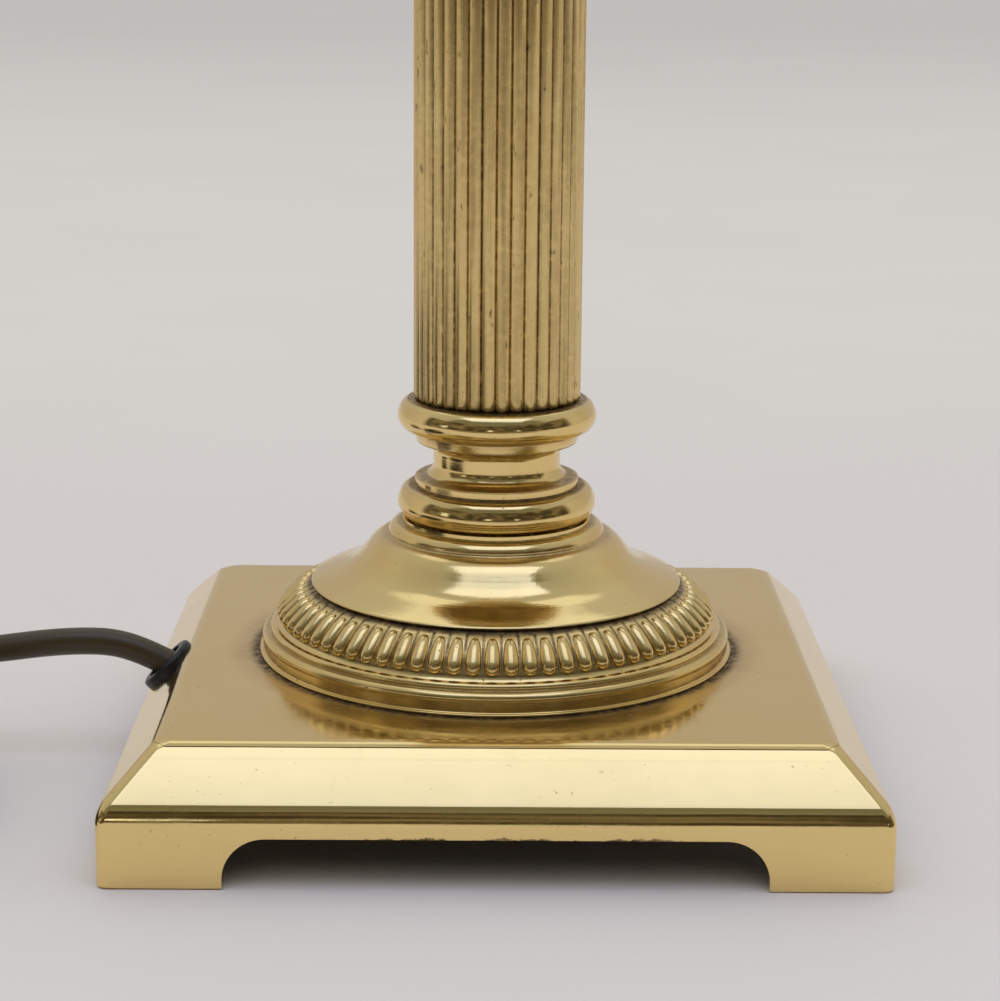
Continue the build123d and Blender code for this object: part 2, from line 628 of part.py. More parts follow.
# ---- capital -------------------------------------------------------------------------------
def capital():
    """Turned capital: spigot, roll, fillet, neck and quarter-round."""
    spigot_r = COLUMN_BORE_R - SPIGOT_CLEARANCE
    roll_z = CAPITAL_BEAD
    outline = Outline(ROD_HOLE_D / 2, -BASE_SPIGOT_H)
    outline.to(spigot_r - 1, -BASE_SPIGOT_H)
    outline.to(spigot_r, 1 - BASE_SPIGOT_H)
    outline.to(spigot_r, 0)
    torus_roll(outline, roll_z, CAPITAL_BEAD, TORUS_R - 1.0)
    outline.to(FILLET_R - 0.6, 2 * CAPITAL_BEAD + 0.5)
    outline.to(FILLET_R - 0.6, 2 * CAPITAL_BEAD + 1.8)
    outline.arc(CAPITAL_NECK_R, 2 * CAPITAL_BEAD + 5.0, -0.8)
    outline.to(CAPITAL_NECK_R, CAPITAL_H - 9.0)
    outline.arc(FILLET_R - 0.6, CAPITAL_H - 7.0, -0.6)
    outline.to(FILLET_R + 0.4, CAPITAL_H - 7.0)
    outline.to(FILLET_R + 0.4, CAPITAL_H - 6.0)
    outline.arc(ECHINUS_R, CAPITAL_H - 1.0, 1.3)
    outline.to(ECHINUS_R, CAPITAL_H)
    outline.to(ROD_HOLE_D / 2, CAPITAL_H)
    return outline.turned(CAPITAL_Z)


def abacus():
    """Square plate on the capital, chamfered like the plinth."""
    band = extrude(Rectangle(ABACUS_SIDE, ABACUS_SIDE), ABACUS_FACE_H)
    lower = Pos(0, 0, ABACUS_FACE_H) * Rectangle(ABACUS_SIDE, ABACUS_SIDE)
    upper = Pos(0, 0, ABACUS_H) * Rectangle(ABACUS_TOP_SIDE, ABACUS_TOP_SIDE)
    solid = band + loft([lower, upper])
    solid = fillet(solid.edges().filter_by(Axis.Z), 1.0)
    return Pos(0, 0, ABACUS_Z) * (solid - Cylinder(ROD_HOLE_D / 2, 4 * ABACUS_H))


def top_cup():
    """Small turned cup between the capital and the lampholder."""
    outline = (
        Outline(ROD_HOLE_D / 2, 0)
        .to(CUP_BASE_R, 0)
        .to(CUP_BASE_R, 1.6)
        .to(CUP_BASE_R - 1.2, 2.2)
        .arc(CUP_TOP_R + 1.5, CUP_H - 5.0, -2.4)
        .to(CUP_TOP_R + 1.5, CUP_H - 4.0)
        .arc(CUP_TOP_R + 1.5, CUP_H - 1.6, 0.9)
        .to(CUP_TOP_R, CUP_H)
        .to(ROD_HOLE_D / 2, CUP_H)
    )
    return outline.turned(CUP_Z)


# ---- rod and fastenings --------------------------------------------------------------------
def threaded_rod():
    return tube(ROD_D / 2 - THREAD_CLEARANCE, ROD_BORE_D / 2, ROD_BOTTOM_Z, ROD_TOP_Z)


def bottom_washer():
    return tube(WASHER_D / 2, ROD_D / 2 + 0.2, WASHER_Z, ROOF_Z)


def bottom_nut():
    return hexagon_nut(NUT_AF, ROD_D / 2, NUT_Z, WASHER_Z)


def lock_ring():
    """Round lock ring on the rod, with coarse milling round its edge."""
    ring = tube(LOCK_RING_R, ROD_D / 2, LOCK_RING_Z, HOLDER_Z)
    notches = 24
    cutter = Pos(LOCK_RING_R + 0.25, 0, LOCK_RING_Z + LOCK_RING_H / 2) * Cylinder(0.6, LOCK_RING_H * 2)
    return ring - [Rot(0, 0, index * 360 / notches) * cutter for index in range(notches)]


# ---- lampholder ----------------------------------------------------------------------------
def holder_cap():
    """Lower half of the lampholder: threaded boss, flare, and walls that carry the switch bar."""
    flare_z = HOLDER_BOSS_H + HOLDER_FLARE_H
    inside = HOLDER_R - HOLDER_WALL
    floor = HOLDER_THREAD_H + 1.0
    outline = (
        Outline(ROD_D / 2, 0)
        .to(HOLDER_BOSS_R, 0)
        .to(HOLDER_BOSS_R, HOLDER_BOSS_H)
        .arc(HOLDER_R, flare_z, 1.6)
        .to(HOLDER_R, HOLDER_CAP_H)
        .to(inside, HOLDER_CAP_H)
        .to(inside, flare_z + 0.6)
        .to(HOLDER_BOSS_R + HOLDER_FLARE_T / 2, floor)
        .to(ROD_D / 2, floor)
    )
    shell = outline.turned(HOLDER_Z)
    bearing = Pos(0, 0, HOLDER_Z + SWITCH_BAR_Z) * Rot(0, 90, 0) * Cylinder(
        SWITCH_BAR_D / 2 + SWITCH_BAR_CLEARANCE, 4 * HOLDER_R
    )
    return shell - bearing


def bayonet_slot(angle):
    """One bayonet slot: down from the rim, round, and up into its catch."""
    radius = (SOCKET_R + BARREL_R) / 2
    entry = block(
        SOCKET_R - 1, BARREL_R + 1, -SLOT_WIDTH / 2, SLOT_WIDTH / 2, BARREL_TOP - SLOT_DEPTH, BARREL_TOP + 1
    )
    floor_z = BARREL_TOP - SLOT_DEPTH
    catch_angle = SLOT_TURN
    ring = tube(BARREL_R + 1, SOCKET_R - 1, floor_z, floor_z + SLOT_WIDTH)
    half_sector = math.radians(catch_angle / 2)
    reach = 2 * radius
    wedge = make_face(
        Polyline(
            (0, 0),
            (reach, 0),
            (reach * math.cos(half_sector), reach * math.sin(half_sector)),
            (reach * math.cos(2 * half_sector), reach * math.sin(2 * half_sector)),
            (0, 0),
        )
    )
    sweep_round = ring & Pos(0, 0, floor_z - 1) * extrude(wedge, SLOT_WIDTH + 3)
    catch = Rot(0, 0, catch_angle) * block(
        SOCKET_R - 1,
        BARREL_R + 1,
        -SLOT_WIDTH / 2,
        SLOT_WIDTH / 2,
        floor_z,
        floor_z + SLOT_WIDTH + SLOT_CATCH,
    )
    return Rot(0, 0, angle) * (entry + sweep_round + catch)


def holder_barrel():
    """Upper half of the lampholder: skirt, shade flange and threaded barrel with its socket."""
    skirt_r = HOLDER_R - HOLDER_WALL - SPIGOT_CLEARANCE
    shoulder = INSULATOR_SHOULDER_R + INSULATOR_CLEARANCE
    outline = (
        Outline(shoulder, FLANGE_Z - BARREL_SKIRT_H)
        .to(skirt_r, FLANGE_Z - BARREL_SKIRT_H)
        .to(skirt_r, FLANGE_Z)
        .to(FLANGE_R - 0.4, FLANGE_Z)
        .to(FLANGE_R, FLANGE_Z + 0.4)
        .to(FLANGE_R, BARREL_Z - 0.4)
        .to(FLANGE_R - 0.4, BARREL_Z)
        .to(BARREL_R, BARREL_Z)
        .to(BARREL_R, RELIEF_Z)
        .to(BARREL_R - RELIEF_DEPTH, RELIEF_Z)
        .to(BARREL_R - RELIEF_DEPTH, RELIEF_Z + RELIEF_W)
        .to(BARREL_R, RELIEF_Z + RELIEF_W)
        .to(BARREL_R, BARREL_TOP - 0.6)
        .to(BARREL_R - 0.6, BARREL_TOP)
        .to(SOCKET_R, BARREL_TOP)
        .to(SOCKET_R, SOCKET_FLOOR)
        .to(INSULATOR_R + INSULATOR_CLEARANCE, SOCKET_FLOOR)
        .to(INSULATOR_R + INSULATOR_CLEARANCE, FLANGE_Z)
        .to(shoulder, FLANGE_Z)
    )
    return outline.turned() - bayonet_slot(0) - bayonet_slot(180)


def insulator():
    """Moulded insulator: shoulder under the flange, spool up the barrel, holes for the contacts."""
    outline = (
        Outline(0, INSULATOR_FOOT_Z)
        .to(INSULATOR_SHOULDER_R, INSULATOR_FOOT_Z)
        .to(INSULATOR_SHOULDER_R, FLANGE_Z - INSULATOR_CLEARANCE)
        .to(INSULATOR_R, FLANGE_Z - INSULATOR_CLEARANCE)
        .to(INSULATOR_R, INSULATOR_TOP_Z - 0.6)
        .to(INSULATOR_R - 0.6, INSULATOR_TOP_Z)
        .to(0, INSULATOR_TOP_Z)
    )
    body = outline.turned()
    for side in (-1, 1):
        floor = INSULATOR_TOP_Z - PLUNGER_IN - SPRING_LENGTH
        radius = PLUNGER_D / 2 + PLUNGER_CLEARANCE
        body = body - cylinder(radius, floor, INSULATOR_TOP_Z + 1, 0, side * PLUNGER_OFFSET)
        terminal_top = INSULATOR_FOOT_Z + TERMINAL_SCREW_L
        terminal_r = TERMINAL_SCREW_R + THREAD_CLEARANCE
        body = body - cylinder(terminal_r, INSULATOR_FOOT_Z - 1, terminal_top, 0, side * TERMINAL_OFFSET)
    bar_hole = Pos(0, 0, HOLDER_Z + SWITCH_BAR_Z) * Rot(0, 90, 0) * Cylinder(
        SWITCH_BAR_D / 2 + 0.3, 4 * HOLDER_R
    )
    return body - bar_hole


def dome_bulge(radius, height):
    """How far a spherical cap's arc stands out from its chord."""
    chord = math.hypot(radius, height)
    sphere = chord**2 / (2 * height)
    return sphere - math.sqrt(sphere**2 - chord**2 / 4)


def contact_plunger(side):
    """Brass contact pin with a domed nose."""
    radius = PLUNGER_D / 2
    low, high = INSULATOR_TOP_Z - PLUNGER_IN, INSULATOR_TOP_Z + PLUNGER_OUT
    pin = (
        Outline(0, low)
        .to(radius - 0.3, low)
        .to(radius, low + 0.3)
        .to(radius, high - PLUNGER_NOSE)
        .arc(0, high, dome_bulge(radius, PLUNGER_NOSE))
        .turned()
    )
    return Pos(0, side * PLUNGER_OFFSET, 0) * pin


def contact_spring(side):
    """Compression spring under a contact pin."""
    low = INSULATOR_TOP_Z - PLUNGER_IN - SPRING_LENGTH + SPRING_WIRE / 2
    height = SPRING_LENGTH - SPRING_WIRE
    helix = Helix(height / SPRING_TURNS, height, SPRING_R)
    wire = sweep(Plane(origin=helix @ 0, z_dir=helix % 0) * Circle(SPRING_WIRE / 2), helix)
    return Pos(0, side * PLUNGER_OFFSET, low) * wire


def terminal_screws():
    """Two grub screws that hold the conductors in the foot of the insulator."""
    screws = []
    for side in (-1, 1):
        top = INSULATOR_FOOT_Z + TERMINAL_SCREW_L
        screws.append(cylinder(TERMINAL_SCREW_R, INSULATOR_FOOT_Z, top, 0, side * TERMINAL_OFFSET))
    return Compound(screws)


def switch_bar():
    """Push bar through the lampholder: pushed one way for on and the other for off."""
    inner_right = HOLDER_R + SWITCH_GAP + SWITCH_TRAVEL
    inner_left = HOLDER_R + SWITCH_GAP
    middle = (inner_right - inner_left) / 2
    half = (inner_right + inner_left) / 2
    bar = Rot(0, 90, 0) * Cylinder(SWITCH_BAR_D / 2, 2 * half + 1)
    knob = (
        Outline(0, 0)
        .to(SWITCH_KNOB_D / 2 - 0.5, 0)
        .to(SWITCH_KNOB_D / 2, 0.5)
        .to(SWITCH_KNOB_D / 2, SWITCH_KNOB_L - 1.0)
        .arc(SWITCH_KNOB_D / 2 - 1.2, SWITCH_KNOB_L, 0.35)
        .to(0, SWITCH_KNOB_L)
        .turned()
    )
    right = Pos(half, 0, 0) * Rot(0, 90, 0) * knob
    left = Pos(-half, 0, 0) * Rot(0, -90, 0) * knob
    return Pos(middle, 0, HOLDER_Z + SWITCH_BAR_Z) * (bar + right + left)


def shade_ring():
    """Threaded ring that clamps a shade's ring on the flange, with finger ribs round it."""
    inner = BARREL_R + SHADE_RING_CLEARANCE
    outline = (
        Outline(inner, 0)
        .to(SHADE_RING_R - 0.8, 0)
        .to(SHADE_RING_R - 0.8, 0.8)
        .to(SHADE_RING_R, 1.2)
        .to(SHADE_RING_R, SHADE_RING_H - 1.8)
        .arc(SHADE_RING_R - 1.8, SHADE_RING_H, 0.5)
        .to(inner + 0.6, SHADE_RING_H)
        .to(inner, SHADE_RING_H - 0.6)
    )
    ring = outline.turned(SHADE_RING_Z)
    groove = cylinder(0.55, SHADE_RING_Z - 1, SHADE_RING_Z + SHADE_RING_H + 1, SHADE_RING_R + 0.15)
    return ring - [Rot(0, 0, index * 360 / SHADE_RING_RIBS) * groove for index in range(SHADE_RING_RIBS)]


# ---- flex, cord and coil -------------------------------------------------------------------
def corner_radii(points):
    """Each corner's arc is 0.45 of the shorter run beside it over the tangent of half the turn."""
    radii = []
    for before, corner, after in zip(points, points[1:], points[2:]):
        arriving, leaving = corner - before, after - corner
        half_turn = math.radians(arriving.get_angle(leaving)) / 2
        radii.append(0.45 * min(arriving.length, leaving.length) / math.tan(half_turn))
    return radii


def cord_tube(points, diameter, label):
    """A round tube along straight runs joined by tangent arcs."""
    points = [Vector(point) for point in points]
    radii = corner_radii(points)
    print(label, "radii", [round(radius, 1) for radius in radii])
    path = FilletPolyline(*points, radius=radii)
    section = Plane(origin=path @ 0, z_dir=path % 0) * Circle(diameter / 2)
    solid = sweep(section, path)
    expected = math.pi * diameter**2 / 4 * path.length
    print(label, "length", round(path.length, 1), "volume ratio", round(solid.volume / expected, 4))
    return solid


COIL_OUTER_R = COIL_INNER_R + COIL_LAYER_TURNS * COIL_PITCH
COIL_TOP_Z = CORD_REST_Z + (COIL_LAYERS - 1) * COIL_LAYER
COIL_START = (COIL_X, COIL_Y + COIL_OUTER_R, COIL_TOP_Z)
COIL_END = (COIL_X, COIL_Y + COIL_OUTER_R, CORD_REST_Z)
PLUG_PLACE = Pos(PLUG_X, PLUG_Y, 0) * Rot(0, 0, 90)
PLUG_ENTRY = (PLUG_X, PLUG_Y - PLUG_LENGTH / 2, PLUG_COVER_T)

FREE_RUN = [
    (FLEX_EXIT.X, 0, FLEX_EXIT.Z),
    (-82.9, 0, 26.14),
    (-88.2, 0, 27.9),
    (-93.8, 0, 28.6),
    (-104.5, 0, 28.2),
    (-121.5, 0.6, 25.6),
    (-141.0, 2.8, 24.4),
    COIL_START,
]
PLUG_RUN = [
    COIL_END,
    (-172.0, 2.5, 3.25),
    (-184.5, 7.7, 3.25),
    (-194.0, 17.2, 4.4),
    (-199.2, 29.7, 8.4),
    PLUG_ENTRY,
]


def coil_state(turn):
    """Radius and height of the coil's centre line after some turns from its start."""
    cycle = COIL_LAYER_TURNS + 0.5
    layer = min(int(turn / cycle), COIL_LAYERS - 1)
    local = turn - layer * cycle
    inward = layer % 2 == 0
    spiral = min(local, COIL_LAYER_TURNS) * COIL_PITCH
    radius = COIL_OUTER_R - spiral if inward else COIL_INNER_R + spiral
    climb = max(0.0, local - COIL_LAYER_TURNS) / 0.5
    ease = climb * climb * (3 - 2 * climb)
    return radius, COIL_TOP_Z - COIL_LAYER * (layer + ease)


def coil_point(turn):
    radius, height = coil_state(turn)
    angle = math.radians(90 + 360 * turn)
    return Vector(COIL_X + radius * math.cos(angle), COIL_Y + radius * math.sin(angle), height)


def coil_tangent(turn, step=1e-4):
    total = COIL_LAYERS * COIL_LAYER_TURNS + (COIL_LAYERS - 1) * 0.5
    low, high = max(0.0, turn - step), min(total, turn + step)
    return (coil_point(high) - coil_point(low)).normalized()


def biarc(start, start_dir, end, end_dir):
    """Two arcs that meet smoothly between two points with given directions."""
    chord = end - start
    both = start_dir + end_dir
    a = 2 * (1 - start_dir.dot(end_dir))
    b = 2 * chord.dot(both)
    c = -chord.dot(chord)
    reach = -c / b if abs(a) < 1e-9 else (-b + math.sqrt(b * b - 4 * a * c)) / (2 * a)
    middle = (start + end) * 0.5 + (start_dir - end_dir) * (reach / 2)
    direction = (middle - (start + start_dir * reach)).normalized()
    return [
        Edge.make_tangent_arc(start, start_dir, middle),
        Edge.make_tangent_arc(middle, direction, end),
    ]


def coil_path():
    """The whole coil as biarcs of a quarter turn or less."""
    total = COIL_LAYERS * COIL_LAYER_TURNS + (COIL_LAYERS - 1) * 0.5
    steps = round(total * 8 / 2)
    edges = []
    turns = [total * index / steps for index in range(steps + 1)]
    for low, high in zip(turns, turns[1:]):
        edges += biarc(coil_point(low), coil_tangent(low), coil_point(high), coil_tangent(high))
    return Wire(edges)


def coil_gap(path, samples=1500):
    """Least clear gap between two stretches of the coil, measured on points."""
    points = [path @ (index / samples) for index in range(samples + 1)]
    step = path.length / samples
    apart = int(2.5 * FLEX_D / step)
    least = min(
        (points[i] - points[j]).length
        for i in range(0, samples, 2)
        for j in range(i + apart, samples, 2)
    )
    return least - FLEX_D


def cord_coil():
    path = coil_path()
    section = Plane(origin=path @ 0, z_dir=path % 0) * Circle(FLEX_D / 2)
    solid = sweep(section, path)
    expected = math.pi * FLEX_D**2 / 4 * path.length
    print("coil length", round(path.length, 1), "least gap", round(coil_gap(path), 2))
    print("coil volume ratio", round(solid.volume / expected, 4))
    return solid


def flex_tail():
    """Sheathed flex from its exit in, down and along under the plinth."""
    inward = FLEX_INNER_CORNER - GROMMET_OUT * ((FLEX_INNER_CORNER.Z - INNER_RUN_Z) / GROMMET_OUT.Z)
    points = [
        FLEX_EXIT,
        FLEX_OUTER_CORNER,
        FLEX_INNER_CORNER,
        inward,
        Vector(SHEATH_END_X, 0, INNER_RUN_Z),
    ]
    return cord_tube(points, FLEX_D, "flex tail")


def flex_cores():
    """The two power conductors, from the end of the sheath up the rod to the terminals."""
    cores = []
    for side in (-1, 1):
        bend_z = ROD_TOP_Z + CORE_D / 2 + 0.8
        points = [
            (SHEATH_END_X, side * CORE_OFFSET, INNER_RUN_Z),
            (0, side * CORE_OFFSET, INNER_RUN_Z),
            (0, side * CORE_OFFSET, bend_z),
            (0, side * TERMINAL_OFFSET, bend_z + 1.0),
            (0, side * TERMINAL_OFFSET, INSULATOR_FOOT_Z),
        ]
        path = FilletPolyline(*points, radius=[ROD_TURN_R, CORE_D / 2 + 0.2, CORE_D / 2 + 0.2])
        section = Plane(origin=path @ 0, z_dir=path % 0) * Circle(CORE_D / 2)
        cores.append(sweep(section, path))
    return Compound(cores)


# ---- plug ----------------------------------------------------------------------------------
def plug_outline():
    """Plug seen from above: wide at the cord, narrower at the earth pin."""
    half = PLUG_LENGTH / 2
    wide, narrow = PLUG_WIDTH / 2, PLUG_NOSE_WIDTH / 2
    corners = [(-half, -wide), (half * 0.3, -wide), (half, -narrow), (half, narrow), (half * 0.3, wide), (-half, wide)]
    face = make_face(Polyline(*corners, close=True))
    return fillet(face.vertices(), PLUG_CORNER)


def plug_body(low, high, rounded_top):
    solid = extrude(plug_outline(), high - low)
    rim = solid.edges().group_by(Axis.Z)[-1 if rounded_top else 0]
    return Pos(0, 0, low) * fillet(rim, PLUG_EDGE)


def plug_entry_cutter():
    entry = Pos(-PLUG_LENGTH / 2, 0, PLUG_COVER_T) * Rot(0, 90, 0)
    return entry * Cylinder(FLEX_D / 2 + FLEX_CLEARANCE, 2 * PLUG_CORD_IN)


def fuse_place():
    return Pos(-6.0, PLUG_WIDTH / 2 - FUSE_FROM_EDGE, PLUG_COVER_T + FUSE_D / 2 + 0.6) * Rot(0, 90, 0)


def plug_cover():
    cover = plug_body(0, PLUG_COVER_T, False) - plug_entry_cutter()
    screw_hole = cylinder(PLUG_SCREW_D / 2, -1, PLUG_COVER_T + 1)
    return PLUG_PLACE * (cover - screw_hole - cylinder(PLUG_SCREW_D + 0.2, -1, PLUG_SCREW_SINK))


def plug_base():
    low, high = PLUG_COVER_T, PLUG_COVER_T + PLUG_BASE_T
    base = plug_body(low, high, True) - plug_entry_cutter()
    base = base - cylinder(PLUG_SCREW_D / 2, low - 1, low + PLUG_SCREW_IN + 0.5)
    base = base - fuse_place() * Cylinder(FUSE_D / 2 + FUSE_CLEARANCE, FUSE_LENGTH + 0.4)
    for x, y, width, thick, _ in pin_places():
        base = base - block(x - thick / 2, x + thick / 2, y - width / 2, y + width / 2, high - PIN_IN, high + 1)
    return PLUG_PLACE * base


def pin_places():
    """Centre, size along Y and X, and length of each pin."""
    power_x = -7.0
    half = PIN_SPACING / 2
    return [
        (power_x, -half, PIN_W, PIN_T, PIN_OUT),
        (power_x, half, PIN_W, PIN_T, PIN_OUT),
        (power_x + PIN_SPACING, 0, EARTH_PIN_W, EARTH_PIN_T, EARTH_PIN_OUT),
    ]


def plug_pins():
    face = PLUG_COVER_T + PLUG_BASE_T
    pins = []
    for x, y, width, thick, out in pin_places():
        pin = block(x - thick / 2, x + thick / 2, y - width / 2, y + width / 2, face - PIN_IN, face + out)
        pins.append(PLUG_PLACE * chamfer(pin.edges().group_by(Axis.Z)[-1], 0.8))
    return Compound(pins)


def plug_screw():
    """The screw that holds the cover, its head sunk in the cover."""
    radius = PLUG_SCREW_D / 2 - THREAD_CLEARANCE
    shank = cylinder(radius, PLUG_SCREW_SINK, PLUG_COVER_T + PLUG_SCREW_IN)
    head = cylinder(PLUG_SCREW_D, PLUG_SCREW_SINK - 2.0, PLUG_SCREW_SINK)
    slot = block(-2 * PLUG_SCREW_D, 2 * PLUG_SCREW_D, -0.5, 0.5, 0, PLUG_SCREW_SINK - 1.2)
    return PLUG_PLACE * (shank + head - slot)


def plug_fuse():
    return PLUG_PLACE * (fuse_place() * Cylinder(FUSE_D / 2, FUSE_LENGTH))


NODES = {
    "base_plinth": base_plinth,
    "cord_grommet": cord_grommet,
    "cord_clamp": cord_clamp,
    "clamp_screws": clamp_screws,
    "earth_tag": earth_tag,
    "earth_screw": earth_screw,
    "gadroon_foot": gadroon_foot,
    "dome_foot": dome_foot,
    "seat_washer": seat_washer,
    "column_base": column_base,
    "reeded_column": reeded_column,
    "capital": capital,
    "abacus": abacus,
    "top_cup": top_cup,
    "threaded_rod": threaded_rod,
    "bottom_washer": bottom_washer,
    "bottom_nut": bottom_nut,
    "lock_ring": lock_ring,
    "holder_cap": holder_cap,
    "holder_barrel": holder_barrel,
    "insulator": insulator,
    "contact_plunger_front": lambda: contact_plunger(-1),
    "contact_plunger_back": lambda: contact_plunger(1),
    "contact_spring_front": lambda: contact_spring(-1),
    "contact_spring_back": lambda: contact_spring(1),
    "terminal_screws": terminal_screws,
    "switch_bar": switch_bar,
    "shade_ring": shade_ring,
    "flex_tail": flex_tail,
    "flex_cores": flex_cores,
    "free_cord": lambda: cord_tube(FREE_RUN, FLEX_D, "free cord"),
    "cord_coil": cord_coil,
    "plug_cord": lambda: cord_tube(PLUG_RUN, FLEX_D, "plug cord"),
    "plug_cover": plug_cover,
    "plug_base": plug_base,
    "plug_pins": plug_pins,
    "plug_screw": plug_screw,
    "plug_fuse": plug_fuse,
}

for node, make in NODES.items():
    export_step(make(), f"parts/{node}.step")
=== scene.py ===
# %% [markdown]
# A column table lamp, dressed in Blender.
# The solid model comes in as a fixed frame: every piece is already in its place, in metres.
# This lesson gives the lamp its brass, its rubber and its flex, and a pale table to stand on.

# %% Load the solid model
import math
import bmesh
import bpy
from mathutils import Matrix, Vector


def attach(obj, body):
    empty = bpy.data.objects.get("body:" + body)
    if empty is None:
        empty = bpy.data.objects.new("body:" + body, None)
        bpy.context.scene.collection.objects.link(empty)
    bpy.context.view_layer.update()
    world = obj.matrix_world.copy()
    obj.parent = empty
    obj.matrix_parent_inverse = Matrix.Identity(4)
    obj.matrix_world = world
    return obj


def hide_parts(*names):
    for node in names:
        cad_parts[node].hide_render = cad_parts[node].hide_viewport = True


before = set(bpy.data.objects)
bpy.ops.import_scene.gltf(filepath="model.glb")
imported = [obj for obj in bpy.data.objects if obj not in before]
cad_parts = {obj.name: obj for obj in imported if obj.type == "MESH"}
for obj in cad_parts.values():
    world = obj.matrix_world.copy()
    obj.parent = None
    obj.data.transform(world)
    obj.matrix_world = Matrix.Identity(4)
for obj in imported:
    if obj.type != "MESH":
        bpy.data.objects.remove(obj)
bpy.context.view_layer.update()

scene = bpy.context.scene
scene.view_settings.view_transform = "Standard"
MM = 0.001

# %% [markdown]
# The photographer stood close and looked down a little, so the lens is short of a portrait lens
# and the square foot shows its perspective. The camera was worked out from the corners of the
# square plinth, whose side is known. It leans by half a degree.

# %% Camera
CAMERA_PLACE = Vector((-3.4, -565.6, 199.5)) * MM
CAMERA_DOWN = math.radians(13.56)
CAMERA_TURN = math.radians(0.43)
CAMERA_LEAN = math.radians(0.46)
forward = Vector((
    math.sin(CAMERA_TURN) * math.cos(CAMERA_DOWN),
    math.cos(CAMERA_TURN) * math.cos(CAMERA_DOWN),
    -math.sin(CAMERA_DOWN),
))
level_right = Vector((math.cos(CAMERA_TURN), -math.sin(CAMERA_TURN), 0))
level_up = level_right.cross(forward)
camera_right = math.cos(CAMERA_LEAN) * level_right + math.sin(CAMERA_LEAN) * level_up
camera_up = math.cos(CAMERA_LEAN) * level_up - math.sin(CAMERA_LEAN) * level_right
camera = bpy.data.objects.new("camera", bpy.data.cameras.new("camera"))
scene.collection.objects.link(camera)
camera.matrix_world = Matrix.Translation(CAMERA_PLACE) @ Matrix(
    (camera_right, camera_up, -forward)
).transposed().to_4x4()
camera.data.lens, camera.data.sensor_width = 90.1, 36
camera.data.clip_start, camera.data.clip_end = 0.02, 40
scene.camera = camera
print("camera", round((CAMERA_PLACE - Vector((0, 0, 0.063))).length, 3), "m from the lamp's foot")

# %% [markdown]
# The flex is one real length of cord: out of the rubber grommet, over the plinth's edge, down
# past the left side of the picture, into a neat coil, and on to the plug.
# A NURBS curve of order 3 runs smoothly near its points and never through sharp corners.
# The bevel is one metre deep and each point's radius scales it down to the cord's own, so that
# the curve's box is the cord's box and not a metre wider.

# %% Points of the flex
FLEX_D = 6.4 * MM
COIL_X, COIL_Y = -162.0, -40.0
COIL_INNER_R, COIL_PITCH = 31.2, 8.0
COIL_LAYER, COIL_LAYERS, COIL_LAYER_TURNS = 7.05, 4, 1.375
CORD_REST_Z = 3.25
WHOLE_METRE = 1.0
COIL_OUTER_R = COIL_INNER_R + COIL_LAYER_TURNS * COIL_PITCH
COIL_TOP_Z = CORD_REST_Z + (COIL_LAYERS - 1) * COIL_LAYER
COIL_STEP = 1 / 16
free_run = [
    (-77.982, 0, 23.679), (-82.9, 0, 26.14), (-88.2, 0, 27.9), (-93.8, 0, 28.6),
    (-104.5, 0, 28.2), (-121.5, 0.6, 25.6), (-141.0, 2.8, 24.4),
]
plug_run = [
    (-172.0, 2.5, 3.25), (-184.5, 7.7, 3.25), (-194.0, 17.2, 4.4), (-199.2, 29.7, 8.4),
    (-199.2, 43.0, 11.0),
]


def coil_point(turn):
    """A point of the coil, some turns from its start: four flat spirals, one below another."""
    cycle = COIL_LAYER_TURNS + 0.5
    layer = min(int(turn / cycle), COIL_LAYERS - 1)
    local = turn - layer * cycle
    spiral = min(local, COIL_LAYER_TURNS) * COIL_PITCH
    radius = COIL_OUTER_R - spiral if layer % 2 == 0 else COIL_INNER_R + spiral
    climb = max(0.0, local - COIL_LAYER_TURNS) / 0.5
    ease = climb * climb * (3 - 2 * climb)
    around = math.radians(90 + 360 * turn)
    spread = radius / math.cos(math.pi * COIL_STEP)
    return (
        COIL_X + spread * math.cos(around),
        COIL_Y + spread * math.sin(around),
        COIL_TOP_Z - COIL_LAYER * (layer + ease),
    )


coil_turns = COIL_LAYERS * COIL_LAYER_TURNS + (COIL_LAYERS - 1) * 0.5
coil_count = round(coil_turns / COIL_STEP)
coil_run = [coil_point(coil_turns * index / coil_count) for index in range(coil_count + 1)]
print(len(coil_run), "points in", coil_turns, "turns of the coil")

# %% The flex as one curve
flex_curve = bpy.data.curves.new("flex", "CURVE")
flex_curve.dimensions = "3D"
flex_curve.bevel_depth = WHOLE_METRE
flex_curve.bevel_resolution = 5
flex_curve.resolution_u = 6
flex_spline = flex_curve.splines.new("NURBS")
flex_points = free_run + coil_run + plug_run
flex_spline.points.add(len(flex_points) - 1)
for point, place in zip(flex_spline.points, flex_points):
    point.co = (*(Vector(place) * MM), 1)
    point.radius = FLEX_D / 2
flex_spline.order_u = 3
flex_spline.use_endpoint_u = True
flex_spline.use_smooth = True
flex = bpy.data.objects.new("flex", flex_curve)
scene.collection.objects.link(flex)
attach(flex, "lamp")
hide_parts("free_cord", "cord_coil", "plug_cord")

# %% [markdown]
# Shader arithmetic reads best as arithmetic. This small class holds one output socket, and its
# operators add the Math nodes, so that a mask can be written as 1 - dirt * 0.5.

